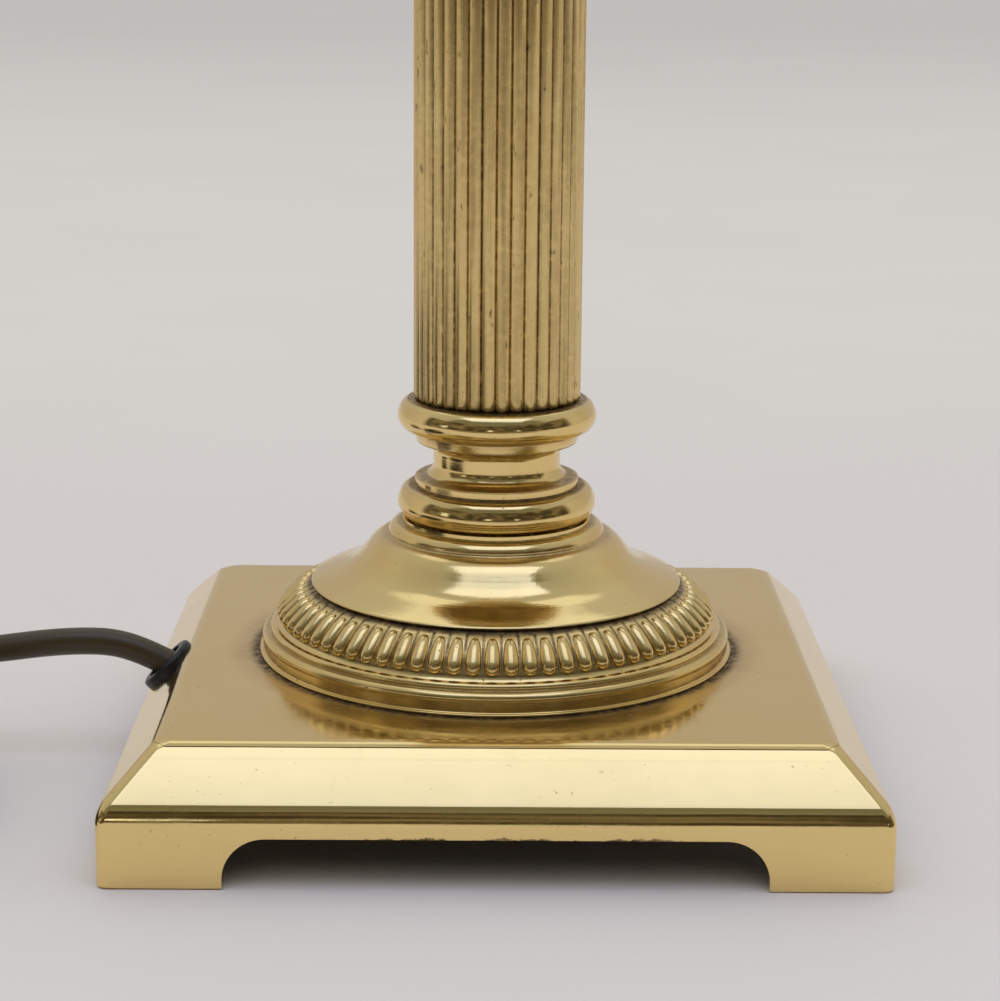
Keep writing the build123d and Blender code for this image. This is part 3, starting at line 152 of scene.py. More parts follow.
# %% Shader values
class Value:
    """A number that varies over a surface: one output socket in a material's tree."""

    def __init__(self, finish, socket):
        self.finish, self.socket = finish, socket

    def maths(self, operation, first, second=None, clamp=False):
        inputs = {0: first} if second is None else {0: first, 1: second}
        return self.finish.node("ShaderNodeMath", {"operation": operation, "use_clamp": clamp}, inputs)

    def __add__(self, other):
        return self.maths("ADD", self, other)

    __radd__ = __add__

    def __mul__(self, other):
        return self.maths("MULTIPLY", self, other)

    __rmul__ = __mul__

    def __sub__(self, other):
        return self.maths("SUBTRACT", self, other)

    def __rsub__(self, other):
        return self.maths("SUBTRACT", other, self)

    def __pow__(self, other):
        return self.maths("POWER", self, other)

    def absolute(self):
        return self.maths("ABSOLUTE", self)

    def or_more(self, other):
        """The larger of two values."""
        return self.maths("MAXIMUM", self, other)

    def clamped(self):
        return self.maths("ADD", self, 0.0, clamp=True)

    def fade(self, low, high):
        """0 below low, 1 above high, and a smooth ramp between."""
        settings = {"interpolation_type": "SMOOTHSTEP"}
        return self.finish.node("ShaderNodeMapRange", settings, {0: self, 1: low, 2: high}, output=0)


# %% A finish and its nodes
class Finish:
    """A material in the making, with its Principled shader and its Object coordinates."""

    def __init__(self, name, **fixed):
        self.material = bpy.data.materials.new(name)
        self.material.use_nodes = True
        self.tree = self.material.node_tree
        self.shader = self.tree.nodes["Principled BSDF"]
        self.place = self.node("ShaderNodeTexCoord", {}, {}, output="Object")
        for socket, value in fixed.items():
            self.shader.inputs[socket.replace("_", " ")].default_value = value

    def node(self, kind, settings, inputs, output=0):
        """Adds a node, sets it up and links it, and gives one of its outputs."""
        made = self.tree.nodes.new(kind)
        for name, value in settings.items():
            setattr(made, name, value)
        for socket, value in inputs.items():
            if isinstance(value, Value):
                self.tree.links.new(value.socket, made.inputs[socket])
            else:
                made.inputs[socket].default_value = value
        return Value(self, made.outputs[output])

    def stretched(self, *scale):
        """Object coordinates multiplied by a scale along each axis."""
        return self.node("ShaderNodeMapping", {}, {"Vector": self.place, "Scale": scale})

    def noise(self, scale, detail=3.0, rough=0.5, where=None):
        inputs = {"Vector": where or self.place, "Scale": scale, "Detail": detail, "Roughness": rough}
        return self.node("ShaderNodeTexNoise", {}, inputs, "Fac")

    def mix(self, amount, first, second):
        """A colour between two colours."""
        start, end = (c if isinstance(c, Value) else (*c, 1) for c in (first, second))
        return self.node("ShaderNodeMix", {"data_type": "RGBA"}, {0: amount, 6: start, 7: end}, 2)

    def axes(self):
        """The three Object coordinates as values."""
        split = self.tree.nodes.new("ShaderNodeSeparateXYZ")
        self.tree.links.new(self.place.socket, split.inputs[0])
        return [Value(self, socket) for socket in split.outputs]

    def give(self, socket, value):
        """Sends a value or a colour to the shader."""
        self.tree.links.new(value.socket, self.shader.inputs[socket])

    def bump(self, height, depth):
        """Turns a height from 0 to 1 into shading, as if it were that many metres deep."""
        inputs = {"Height": height, "Distance": depth, "Strength": 1.0}
        self.give("Normal", self.node("ShaderNodeBump", {}, inputs))
        return self.material


# %% [markdown]
# Old polished brass is a pale gold that mirrors its surroundings a little dully.
# Its character is in what the cloth misses: a film of tarnish in soft clouds, brown pits, and
# dirt in every groove that runs round the turning, with painted shade in those grooves and painted warm
# reflection beside them. The functions below add those in layers.

# %% Polished brass
BRASS_GOLD = (0.87, 0.665, 0.285)
BRASS_WARM = (0.76, 0.54, 0.19)
BRASS_RED_AND_REFLECTION = (0.46, 0.20, 0.09)
BRASS_DIRT_AND_SHADE = (0.13, 0.085, 0.045)


def ring_at_height(finish, level, half_width, darkness):
    """A band round the lamp at one height, in mm: for dark rings of dirt and painted shade, and for red rings
    of tarnish and painted warm reflection.
    """
    distance = (finish.axes()[2] - level * MM).absolute()
    return (1 - distance.fade(half_width * 0.3 * MM, half_width * MM)) * darkness


def groove_dirt_and_shade(finish, count, phase, width, darkness, low=-1000, high=1000):
    """Darkening in the upright grooves between reeds or lobes, between two heights in mm: dirt and painted
    shade.
    """
    x, y, z = finish.axes()
    around = finish.node("ShaderNodeMath", {"operation": "ARCTAN2"}, {0: x, 1: -1 * y})
    wave = finish.node("ShaderNodeMath", {"operation": "COSINE"}, {0: (around - math.radians(phase)) * count})
    groove = 1 - wave.fade(-1.001, -1 + width)
    span = z.fade((low - 0.4) * MM, (low + 0.4) * MM) * (1 - z.fade((high - 0.4) * MM, (high + 0.4) * MM))
    return groove * span * darkness


def brass(name, roughness=0.11, cloud=0.3, pits=0.5, turned=False, extra=None, relief=0.00035):
    """Polished brass. extra(finish) gives masks of dirt and painted shade, of red tarnish and painted warm
    reflection, and of satin.
    """
    finish = Finish(name, Metallic=1.0)
    x, y, z = finish.axes()
    clouds = finish.noise(34, 4, 0.6).fade(0.40, 0.68)
    film = finish.noise(120, 4, 0.65).fade(0.42, 0.75)
    pit_mask = finish.noise(1000, 2, 0.5).fade(0.70, 0.75) * finish.noise(70, 2, 0.5).fade(0.42, 0.6) * pits
    dirt_and_shade, red_tarnish_and_reflection, satin = pit_mask, clouds * 0.0, clouds * 0.0
    if extra:
        more_dirt_and_shade, red_tarnish_and_reflection, satin = extra(finish)
        dirt_and_shade = dirt_and_shade.or_more(more_dirt_and_shade)
    broken = finish.noise(520, 3, 0.65).fade(0.22, 0.62)
    dirt_and_shade = (dirt_and_shade * (broken * 0.55 + 0.45)).clamped()
    tone = finish.mix(clouds * cloud, BRASS_GOLD, BRASS_WARM)
    # Red tarnish and painted warm reflection redden the tone; dirt and painted shade darken it to dark brown.
    tone = finish.mix((red_tarnish_and_reflection * (film * 0.7 + 0.3)).clamped(), tone, BRASS_RED_AND_REFLECTION)
    finish.give("Base Color", finish.mix(dirt_and_shade, tone, BRASS_DIRT_AND_SHADE))
    rough = clouds * 0.05 + film * 0.06 + dirt_and_shade * 0.4 + red_tarnish_and_reflection * 0.1 + satin + roughness
    finish.give("Roughness", rough.clamped())
    height = finish.noise(60, 2, 0.5) * 0.9 + finish.noise(1300, 2, 0.5) * 0.03 - dirt_and_shade * 0.08
    if turned:
        radius = (x * x + y * y) ** 0.5
        rings = finish.node("ShaderNodeCombineXYZ", {}, {0: radius, 1: z})
        height = height + finish.noise(2600, 2, 0.7, where=rings) * 0.035
    return finish.bump(height, relief)


# %% Other finishes
def plain_metal(name, colour, roughness, grain=700):
    """Small plain metal pieces: plated or turned and never polished."""
    finish = Finish(name, Metallic=1.0)
    dull = finish.noise(grain, 3, 0.6)
    finish.give("Base Color", finish.mix(dull.fade(0.4, 0.7) * 0.5, colour, tuple(c * 0.55 for c in colour)))
    finish.give("Roughness", dull * 0.25 + roughness)
    return finish.bump(dull, 0.00004)


def moulded(name, colour, roughness, speckle=0.25, grain=1200, coat=0.0):
    """Moulded rubber or plastic with a fine skin, a little dust and soft gloss."""
    finish = Finish(name)
    dust = finish.noise(160, 4, 0.65).fade(0.45, 0.75)
    finish.give("Base Color", finish.mix(dust * speckle, colour, tuple(c * 0.8 + 0.03 for c in colour)))
    finish.give("Roughness", dust * 0.15 + roughness)
    finish.shader.inputs["Coat Weight"].default_value = coat
    return finish.bump(finish.noise(grain, 3, 0.6), 0.00003)


rubber = moulded("rubber", (0.006, 0.007, 0.009), 0.36, 0.1)
black_plastic = moulded("black plastic", (0.02, 0.02, 0.021), 0.28, 0.3, coat=0.3)
sheath = moulded("flex sheath", (0.062, 0.039, 0.011), 0.36, 0.1)
core_finish = moulded("conductor sheaths", (0.13, 0.045, 0.02), 0.4)
insulating = moulded("insulator", (0.72, 0.69, 0.6), 0.25, 0.2, coat=0.4)
fuse_body = moulded("fuse body", (0.6, 0.55, 0.46), 0.45)
steel = plain_metal("plated steel", (0.6, 0.6, 0.57), 0.3)
tinned = plain_metal("tinned copper", (0.66, 0.65, 0.63), 0.28)
wire = plain_metal("spring wire", (0.5, 0.5, 0.5), 0.25)
turned_brass = plain_metal("turned brass", (0.7, 0.5, 0.2), 0.27)
polished = brass("polished brass")
flex.data.materials.append(sheath)

# %% [markdown]
# Each brass piece has its own marks: dark rings of dirt and painted shade in its own grooves and where it
# meets the next piece, and red rings of tarnish and painted warm reflection.

# %% Brass of each piece
PLINTH_TOP_Z = 28.4


def nothing(finish):
    """A mask that is 0 everywhere."""
    return finish.axes()[0] * 0.0


def dome_marks(finish):
    z = finish.axes()[2]
    # Dark rings of dirt and painted shade under the rim where the dome sits on the foot, in the cove under
    # the collar and on the collar top; the wide red ring in the cove is tarnish and painted warm reflection
    # of the dome below.
    low = ring_at_height(finish, 44.0, 1.0, 0.95) + ring_at_height(finish, 56.2, 0.8, 0.35)
    high = ring_at_height(finish, 58.9, 0.4, 0.6)
    return (low + high).clamped(), ring_at_height(finish, 56.2, 1.8, 0.25), nothing(finish)


def base_marks(finish):
    # Dark rings of dirt and painted shade where the turning meets the seat, in its inner corners and where
    # the column stands in it; the red rings by the rolls are tarnish and painted warm reflection of the brass
    # beside them.
    low = ring_at_height(finish, 59.9, 0.5, 0.9) + ring_at_height(finish, 67.45, 0.35, 0.8)
    middle = ring_at_height(finish, 69.6, 0.5, 0.6) + ring_at_height(finish, 77.7, 0.5, 0.6)
    high = ring_at_height(finish, 80.2, 0.45, 0.8) + ring_at_height(finish, 87.6, 0.4, 0.8)
    red_tarnish_and_reflection = ring_at_height(finish, 80.2, 1.8, 0.45) + ring_at_height(finish, 67.4, 1.2, 0.3)
    return (low + middle + high).clamped(), red_tarnish_and_reflection, nothing(finish)


def foot_marks(finish):
    # Dirt and painted shade between the lobes, in the foot's grooves, where it stands on the plinth and under
    # the dome's rim; a faint red band lies over the lobes.
    lobe_cove_dirt_and_shade = groove_dirt_and_shade(finish, 75, -1.1, 0.30, 0.8, 36.6, 43.6)
    low = ring_at_height(finish, 28.4, 0.45, 0.9) + ring_at_height(finish, 33.7, 0.45, 0.4)
    high = ring_at_height(finish, 36.2, 0.5, 0.75) + ring_at_height(finish, 43.9, 0.9, 0.95)
    return (lobe_cove_dirt_and_shade + low + high).clamped(), ring_at_height(finish, 40.0, 5.0, 0.12), nothing(finish)


def column_marks(finish):
    x, y, z = finish.axes()
    streaks = finish.noise(1.0, 4, 0.6, where=finish.stretched(480, 480, 14)).fade(0.40, 0.75)
    spots = finish.noise(1.0, 3, 0.6, where=finish.stretched(420, 420, 160)).fade(0.64, 0.74)
    # Dirt and painted shade between the reeds and where the column stands in its turned base; streaks, spots
    # and an even film darken it further.
    reed_groove_dirt_and_shade = groove_dirt_and_shade(finish, 36, 3.3, 0.16, 0.5)
    foot = ring_at_height(finish, 87.6, 1.2, 0.7)
    dirt_and_shade = (reed_groove_dirt_and_shade + streaks * 0.26 + spots * 0.55 + foot + 0.19).clamped()
    return dirt_and_shade, streaks * 0.16, streaks * 0.08


def plinth_marks(finish):
    """Dirt and painted shade round the foot, a halo of tarnish, painted shade and painted warm reflection, a
    chipped edge over the front opening, and a rough inside darkened with painted shade.
    """
    x, y, z = finish.axes()
    radius = (x * x + y * y) ** 0.5
    top = z.fade((PLINTH_TOP_Z - 0.10) * MM, (PLINTH_TOP_Z - 0.02) * MM)
    brushing = finish.noise(1.0, 3, 0.6, where=finish.stretched(26, 900, 900)).fade(0.3, 0.75) * 0.07
    # Close round the foot on the top: dirt and painted shade where the foot stands.
    dirt_and_shade_by_foot = (1 - radius.fade(55.2 * MM, 58.4 * MM)) * top
    jagged = finish.noise(230, 4, 0.7) * 3.2 * MM
    edge = (1 - (z - jagged - 9.6 * MM).fade(0.0, 0.4 * MM)) * z.fade(10.9 * MM, 11.1 * MM)
    aside = (x - 4 * MM).absolute()
    edge = edge * (1 - z.fade(12.6 * MM, 13.4 * MM)) * (1 - aside.fade(24 * MM, 44 * MM)) * 0.95
    # A wider halo round the foot: tarnish, painted shade and painted warm reflection of the foot.
    tarnish_shade_and_reflection_halo = (1 - radius.fade(56 * MM, 64 * MM)) * top
    across = x.absolute().or_more(y.absolute())
    # The hollow inside: rough unpolished casting, darkened with painted shade.
    inside_grime_and_shade = (1 - (across + z).fade(93.4 * MM, 94.0 * MM)) * (1 - across.fade(78.9 * MM, 79.3 * MM))
    inside_grime_and_shade = inside_grime_and_shade * (1 - z.fade(24.8 * MM, 25.2 * MM))
    dirt_and_shade = (dirt_and_shade_by_foot * 0.95 + tarnish_shade_and_reflection_halo * 0.22 + edge + inside_grime_and_shade * 1.6).clamped()
    return dirt_and_shade, tarnish_shade_and_reflection_halo * 0.4, top * (brushing + 0.01) + inside_grime_and_shade * 0.5


dome_brass = brass("dome brass", 0.10, 0.3, 0.5, True, dome_marks)
base_brass = brass("turned brass of the base", 0.10, 0.35, 0.6, True, base_marks)
foot_brass = brass("foot brass", 0.17, 0.5, 0.8, True, foot_marks)
column_brass = brass("column brass", 0.13, 0.3, 0.5, False, column_marks, 0.0002)
plinth_brass = brass("plinth brass", 0.06, 0.14, 0.5, False, plinth_marks, 0.00013)
capital_brass = brass("capital brass", 0.12, 0.3, 0.5, True)

# %% [markdown]
# The lathe made most of this lamp. On the real one each ring is cut with a tool that leaves soft
# corners, so the outline here has a small ease at every corner, and Spin turns it round in many
# steps. The solid model has the same outlines, in fewer and harder facets.

# %% Outlines for the lathe
class Outline:
    """Radius and height in mm, as lines and arcs one after another."""

    def __init__(self, radius, height):
        self.points = [(radius, height)]

    def to(self, radius, height):
        self.points.append((radius, height))
        return self

    def arc(self, radius, height, bulge):
        """An arc. On the way up, a positive bulge swells outwards."""
        (r0, z0), (r1, z1) = self.points[-1], (radius, height)
        chord = math.hypot(r1 - r0, z1 - z0)
        bend = (chord * chord / 4 + bulge * bulge) / (2 * bulge)
        half = math.asin(max(-1.0, min(1.0, chord / 2 / bend)))
        if abs(bulge) > chord / 2:
            half = math.copysign(math.pi, bend) - half
        side_r, side_z = (z1 - z0) / chord, -(r1 - r0) / chord
        centre_r = (r0 + r1) / 2 + side_r * (bulge - bend)
        centre_z = (z0 + z1) / 2 + side_z * (bulge - bend)
        steps = max(3, round(abs(half) * abs(bend) / 0.14))
        steps = min(steps, 22)
        for step in range(1, steps + 1):
            turn = -half + 2 * half * step / steps
            out, along = bend * math.cos(turn), bend * math.sin(turn)
            self.points.append((
                centre_r + side_r * out - side_z * along,
                centre_z + side_z * out + side_r * along,
            ))
        self.points[-1] = (radius, height)
        return self

    def through(self, *places):
        """A smooth curve through some places, from the last point on."""
        run = [Vector(self.points[-1])] + [Vector(place) for place in places]
        for index in range(len(run) - 1):
            before, start = run[max(index - 1, 0)], run[index]
            end, after = run[index + 1], run[min(index + 2, len(run) - 1)]
            for step in range(1, 7):
                t = step / 6
                bend = (after - end * 3 + start * 3 - before) * t + (before * 2 - start * 5 + end * 4 - after)
                self.points.append(tuple(start + ((end - before) * t + bend * t * t) / 2))
        return self

    def eased(self, ease=0.16):
        """The closed outline with each hard corner eased."""
        made, count = [], len(self.points)
        for index, here in enumerate(self.points):
            here = Vector(here)
            back = Vector(self.points[index - 1]) - here
            ahead = Vector(self.points[(index + 1) % count]) - here
            if min(back.length, ahead.length) < 1e-6:
                continue
            turn = math.degrees(math.pi - back.angle(ahead))
            if turn < 18:
                made.append(here)
                continue
            near = min(ease, back.length * 0.4, ahead.length * 0.4)
            before, after = here + back.normalized() * near, here + ahead.normalized() * near
            middle = here * 0.5 + (before + after) * 0.25
            if back.length > 3 * near:
                made.append(here + back.normalized() * near * 1.8)
            made += [before, middle, after]
            if ahead.length > 3 * near:
                made.append(here + ahead.normalized() * near * 1.8)
        return made


# %% Turning an outline
def finished(bench, name, node, finish, crisp=None):
    """Makes the bmesh an object that rides on the lamp in place of its node."""
    bmesh.ops.remove_doubles(bench, verts=bench.verts, dist=1e-6)
    bmesh.ops.recalc_face_normals(bench, faces=bench.faces)
    mesh = bpy.data.meshes.new(name)
    bench.to_mesh(mesh)
    bench.free()
    mesh.shade_smooth()
    if crisp:
        mesh.set_sharp_from_angle(angle=math.radians(crisp))
    made = bpy.data.objects.new(name, mesh)
    scene.collection.objects.link(made)
    mesh.materials.append(finish)
    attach(made, "lamp")
    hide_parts(node)
    print(name, len(mesh.polygons), "faces")
    return made


def spun(outline, lift, steps=180):
    """A bmesh of the closed outline turned round Z and lifted."""
    bench = bmesh.new()
    ring = [bench.verts.new((r * MM, 0, (z + lift) * MM)) for r, z in outline.eased()]
    edges = [bench.edges.new((ring[i - 1], ring[i])) for i in range(len(ring))]
    bmesh.ops.spin(
        bench, geom=ring + edges, cent=(0, 0, 0), axis=(0, 0, 1), dvec=(0, 0, 0),
        angle=math.tau, steps=steps, use_merge=True, use_normal_flip=False, use_duplicate=False,
    )
    return bench


# %% [markdown]
# The plinth is a hollow casting with filed and polished edges. Spin makes a square of an outline
# when it turns it in four steps, Bevel rounds the four mitred edges, and cutters taken away with
# Boolean make the openings between the feet and the holes for the rod and the grommet.

# %% Plinth, turned in four steps
def closed_cutter(bench, name):
    """A mesh object that Boolean takes away from the plinth."""
    bmesh.ops.recalc_face_normals(bench, faces=bench.faces)
    mesh = bpy.data.meshes.new(name)
    bench.to_mesh(mesh)
    bench.free()
    made = bpy.data.objects.new(name, mesh)
    scene.collection.objects.link(made)
    return made


def square_turned(outline):
    """A bmesh of an outline of (half side, height) in mm, carried round a square."""
    bench = bmesh.new()
    reach = MM * math.sqrt(2)
    ring = [bench.verts.new((half * reach, 0, z * MM)) for half, z in outline.eased(0.5)]
    edges = [bench.edges.new((ring[i - 1], ring[i])) for i in range(len(ring))]
    bmesh.ops.rotate(bench, cent=(0, 0, 0), matrix=Matrix.Rotation(math.pi / 4, 3, "Z"), verts=ring)
    bmesh.ops.spin(
        bench, geom=ring + edges, cent=(0, 0, 0), axis=(0, 0, 1), dvec=(0, 0, 0),
        angle=math.tau, steps=4, use_merge=True, use_normal_flip=False, use_duplicate=False,
    )
    bmesh.ops.remove_doubles(bench, verts=bench.verts, dist=1e-6)
    return bench


plinth_outline = (
    Outline(3.0, PLINTH_TOP_Z).to(68.6, PLINTH_TOP_Z).arc(72.55, 26.75, -0.40).arc(80.2, 18.95, -0.05)
    .arc(82.5, 13.6, -0.53).to(82.5, 0.0).to(78.5, 0.0).to(78.5, 14.35).to(68.5, 24.4).to(3.0, 24.4)
)
plinth_bench = square_turned(plinth_outline)


def on_outer_mitre(vert):
    """Whether a point is on one of the four outer mitred edges."""
    half, height = abs(vert.co.x) / MM, vert.co.z / MM
    mitred = abs(abs(vert.co.x) - abs(vert.co.y)) < 1e-6
    return mitred and half > 67.4 and (half > 81.5 or half + height > 94)


outer_corners = [
    edge for edge in plinth_bench.edges
    if all(on_outer_mitre(vert) for vert in edge.verts) and edge.calc_length() < 0.02
]
bmesh.ops.bevel(
    plinth_bench, geom=outer_corners, offset=2.1 * MM, offset_type="OFFSET", affect="EDGES",
    segments=6, profile=0.5, material=-1, clamp_overlap=True,
)
print(len(plinth_bench.faces), "faces in the plinth before its openings")

# %% Openings and holes of the plinth
ARCH_HALF, ARCH_TOP_Z, ARCH_CORNER = 56.5, 11.2, 9.0
ROD_HOLE_R, GROMMET_HOLE_R = 5.3, 6.0
CHAMFER_RISE, CHAMFER_RUN = 12.4, 12.3


def arch_cutter(name, turn):
    """The opening between two feet, with rounded upper corners, right through the plinth."""
    bench = bmesh.new()
    places = [
        (-ARCH_HALF, -2.0), (ARCH_HALF, -2.0), (ARCH_HALF, ARCH_TOP_Z), (-ARCH_HALF, ARCH_TOP_Z),
    ]
    corners = [bench.verts.new((x * MM, -0.1, z * MM)) for x, z in places]
    bench.faces.new(corners)
    bmesh.ops.bevel(
        bench, geom=corners[2:], offset=ARCH_CORNER * MM, offset_type="OFFSET", affect="VERTICES",
        segments=12, profile=0.5, material=-1,
    )
    grown = bmesh.ops.extrude_face_region(bench, geom=list(bench.faces))["geom"]
    far_side = [v for v in grown if isinstance(v, bmesh.types.BMVert)]
    bmesh.ops.translate(bench, vec=(0, 0.2, 0), verts=far_side)
    bmesh.ops.rotate(bench, cent=(0, 0, 0), matrix=Matrix.Rotation(turn, 3, "Z"), verts=bench.verts)
    return closed_cutter(bench, name)


def hole_cutter(name, radius, length, placing):
    """A round hole with its axis along Z before it is placed."""
    bench = bmesh.new()
    bmesh.ops.create_cone(
        bench, cap_ends=True, segments=48, radius1=radius * MM, radius2=radius * MM,
        depth=length * MM, matrix=placing,
    )
    return closed_cutter(bench, name)


GROMMET_PLACE = Vector((-76.35, 0, 22.2)) * MM
grommet_turn = Matrix.Rotation(-math.atan2(CHAMFER_RISE, CHAMFER_RUN), 4, "Y")
cutters = [
    arch_cutter("front_opening", 0.0), arch_cutter("side_opening", math.pi / 2),
    hole_cutter("rod_hole", ROD_HOLE_R, 20, Matrix.Translation((0, 0, 26.4 * MM))),
    hole_cutter("grommet_hole", GROMMET_HOLE_R, 16, Matrix.Translation(GROMMET_PLACE) @ grommet_turn),
]
bmesh.ops.recalc_face_normals(plinth_bench, faces=plinth_bench.faces)
plinth_mesh = bpy.data.meshes.new("plinth")
plinth_bench.to_mesh(plinth_mesh)
plinth_bench.free()
rough_plinth = bpy.data.objects.new("rough_plinth", plinth_mesh)
scene.collection.objects.link(rough_plinth)
for cutter in cutters:
    cut = rough_plinth.modifiers.new(cutter.name, "BOOLEAN")
    cut.operation, cut.solver, cut.object = "DIFFERENCE", "MANIFOLD", cutter
eased_edges = rough_plinth.modifiers.new("eased edges", "BEVEL")
eased_edges.width, eased_edges.segments = 0.35 * MM, 2
eased_edges.limit_method, eased_edges.angle_limit = "ANGLE", math.radians(55)
bpy.context.view_layer.update()
cut_mesh = bpy.data.meshes.new_from_object(
    rough_plinth.evaluated_get(bpy.context.evaluated_depsgraph_get())
)
for helper in [rough_plinth] + cutters:
    bpy.data.objects.remove(helper)
plinth_bench = bmesh.new()
plinth_bench.from_mesh(cut_mesh)

# %% Bosses under the plinth
clamp_boss = bmesh.ops.create_cube(plinth_bench, size=1.0)["verts"]
bmesh.ops.scale(plinth_bench, vec=Vector((12.0, 26.0, 12.7)) * MM, verts=clamp_boss)
bmesh.ops.translate(plinth_bench, vec=Vector((-42.0, 0, 18.55)) * MM, verts=clamp_boss)
bmesh.ops.create_cone(
    plinth_bench, cap_ends=True, segments=40, radius1=4.5 * MM, radius2=4.5 * MM, depth=4.5 * MM,
    matrix=Matrix.Translation(Vector((-20.0, 26.0, 22.65)) * MM),
)
plinth = finished(plinth_bench, "plinth", "base_plinth", plinth_brass, crisp=38)
weights = plinth.modifiers.new("weights", "WEIGHTED_NORMAL")
weights.keep_sharp, weights.weight = True, 80


# %% [markdown]
# The dome is an ogee: a hollow curve that turns into a full shoulder under a small collar.

# %% Dome
FOOT_Z = PLINTH_TOP_Z
dome_outline = (
    Outline(35.5, 13.2).to(37.9, 13.2).to(37.9, 15.8).to(42.7, 15.8).to(43.0, 16.3)
    .through(
        (42.7, 16.6), (41.8, 17.0), (40.3, 17.6), (38.3, 18.35), (36.0, 19.25), (34.0, 20.3),
        (32.4, 21.6), (31.2, 22.95), (30.3, 24.15), (29.4, 25.3), (28.2, 26.4), (26.8, 27.2), (25.6, 27.5),
    )
    .arc(25.0, 28.3, -0.25).arc(22.4, 30.3, 0.6)
    .to(21.8, 30.5).to(5.3, 30.5).to(5.3, 27.3).to(22.5, 27.3).to(27.6, 24.4).to(30.1, 21.2)
)
finished(spun(dome_outline, FOOT_Z), "dome", "dome_foot", dome_brass)

# %% Turned base of the column
BASE_SEAT_Z = 59.8
base_outline = Outline(5.3, 0).to(20.3, 0).to(20.3, 0.35).through(
    (21.2, 0.5), (21.9, 1.0), (22.45, 1.9), (22.8, 2.8), (22.9, 3.5), (22.82, 4.3),
    (22.55, 5.3), (22.15, 6.2), (21.65, 6.85), (20.9, 7.3), (20.0, 7.5), (18.9, 7.6),
)
base_outline.to(18.9, 7.75).to(18.9, 9.45).to(17.9, 9.65).arc(14.65, 13.2, -1.15)
base_outline.to(14.65, 15.0).arc(17.6, 17.75, -0.9).to(18.5, 17.9).to(19.1, 20.3).to(19.3, 20.4)
base_outline.through(
    (20.6, 20.6), (21.6, 21.15), (22.3, 22.0), (22.7, 22.9), (22.85, 23.7), (22.8, 24.6),
    (22.5, 25.6), (22.05, 26.5), (21.5, 27.1), (20.7, 27.55), (19.8, 27.75),
)
base_outline.to(16.9, 27.75).to(16.9, 35.75).to(15.9, 36.75)
base_outline.to(11.0, 36.75).to(11.0, 6.0).to(5.3, 6.0)
finished(spun(base_outline, BASE_SEAT_Z), "turned_base", "column_base", base_brass)

# %% [markdown]
# Gadroons are a row of egg-shaped lobes, here 75 of them. One lobe is a sphere, stretched to an
# egg and narrowed to its upper end, and Spin repeats it round the foot.

# %% Foot with gadroons
foot_outline = (
    Outline(38.0, 0).to(55.1, 0).to(55.1, 0.6).to(54.3, 0.8).to(54.3, 3.1)
    .arc(53.3, 5.1, 0.6).to(52.5, 5.1).to(52.5, 5.4).arc(51.9, 6.6, 0.3).to(51.0, 6.6)
    .arc(50.1, 8.0, -0.15).arc(44.2, 14.8, 0.75).to(42.0, 15.8).to(38.0, 15.8)
)
GADROONS, GADROON_PHASE, LOBE_WIDE = 75, -1.1, 1.80
lobe_low, lobe_high = Vector((50.55, 7.85)), Vector((44.35, 14.55))
foot_bench = spun(foot_outline, FOOT_Z)
lobe_axis = (lobe_high - lobe_low).normalized()
lobe_half = (lobe_high - lobe_low).length / 2
lobe_middle = (lobe_low + lobe_high) / 2
egg = bmesh.ops.create_uvsphere(foot_bench, u_segments=12, v_segments=8, radius=1.0)["verts"]
for vert in egg:
    up = vert.co.z
    narrow = (1 - 0.16 * up - 0.05 * up * up) * math.sqrt(1 + up * up)
    vert.co = Vector((vert.co.x * LOBE_WIDE * narrow, vert.co.y * LOBE_WIDE * narrow, up * lobe_half))
tilt = math.atan2(lobe_axis.x, lobe_axis.y)
placing = (
    Matrix.Rotation(math.radians(-90 + GADROON_PHASE), 4, "Z")
    @ Matrix.Translation(Vector((lobe_middle.x, 0, lobe_middle.y + FOOT_Z)) * MM)
    @ Matrix.Rotation(tilt, 4, "Y")
    @ Matrix.Scale(MM, 4)
)
bmesh.ops.transform(foot_bench, matrix=placing, verts=egg)
lobe_faces = list({face for vert in egg for face in vert.link_faces})
bmesh.ops.spin(
    foot_bench, geom=lobe_faces, cent=(0, 0, 0), axis=(0, 0, 1), dvec=(0, 0, 0),
    angle=math.tau * (GADROONS - 1) / GADROONS, steps=GADROONS - 1,
    use_merge=False, use_normal_flip=False, use_duplicate=True,
)
finished(foot_bench, "gadrooned_foot", "gadroon_foot", foot_brass)

# %% [markdown]
# The column is a tube whose outside is a ring of 36 half-round reeds. One reed is an arc, Spin
# repeats it, and Extrude draws the ring up. The ends are turned in a little.

# %% Reeded column
REEDS, REED_PHASE = 36, 3.3
COLUMN_R, REED_R, COLUMN_BORE_R = 19.2, 1.9, 17.0
COLUMN_FOOT_Z, COLUMN_TOP_Z = 87.55, 377.55
reed_middle = COLUMN_R - REED_R
half_pitch = math.pi / REEDS
reach = reed_middle * math.sin(half_pitch)
meet = math.atan2(reach, math.sqrt(REED_R ** 2 - reach ** 2)) + half_pitch
shaft = bmesh.new()
start = shaft.verts.new((0, -(reed_middle + REED_R * math.cos(meet)) * MM, 0))
start.co.x = -REED_R * math.sin(meet) * MM
bmesh.ops.spin(
    shaft, geom=[start], cent=(0, -reed_middle * MM, 0), axis=(0, 0, 1), dvec=(0, 0, 0),
    angle=2 * meet, steps=10, use_merge=False, use_normal_flip=False, use_duplicate=False,
)
one_reed = list(shaft.verts) + list(shaft.edges)
reed_turn = Matrix.Rotation(math.radians(REED_PHASE), 3, "Z")
bmesh.ops.rotate(shaft, cent=(0, 0, 0), matrix=reed_turn, verts=shaft.verts)
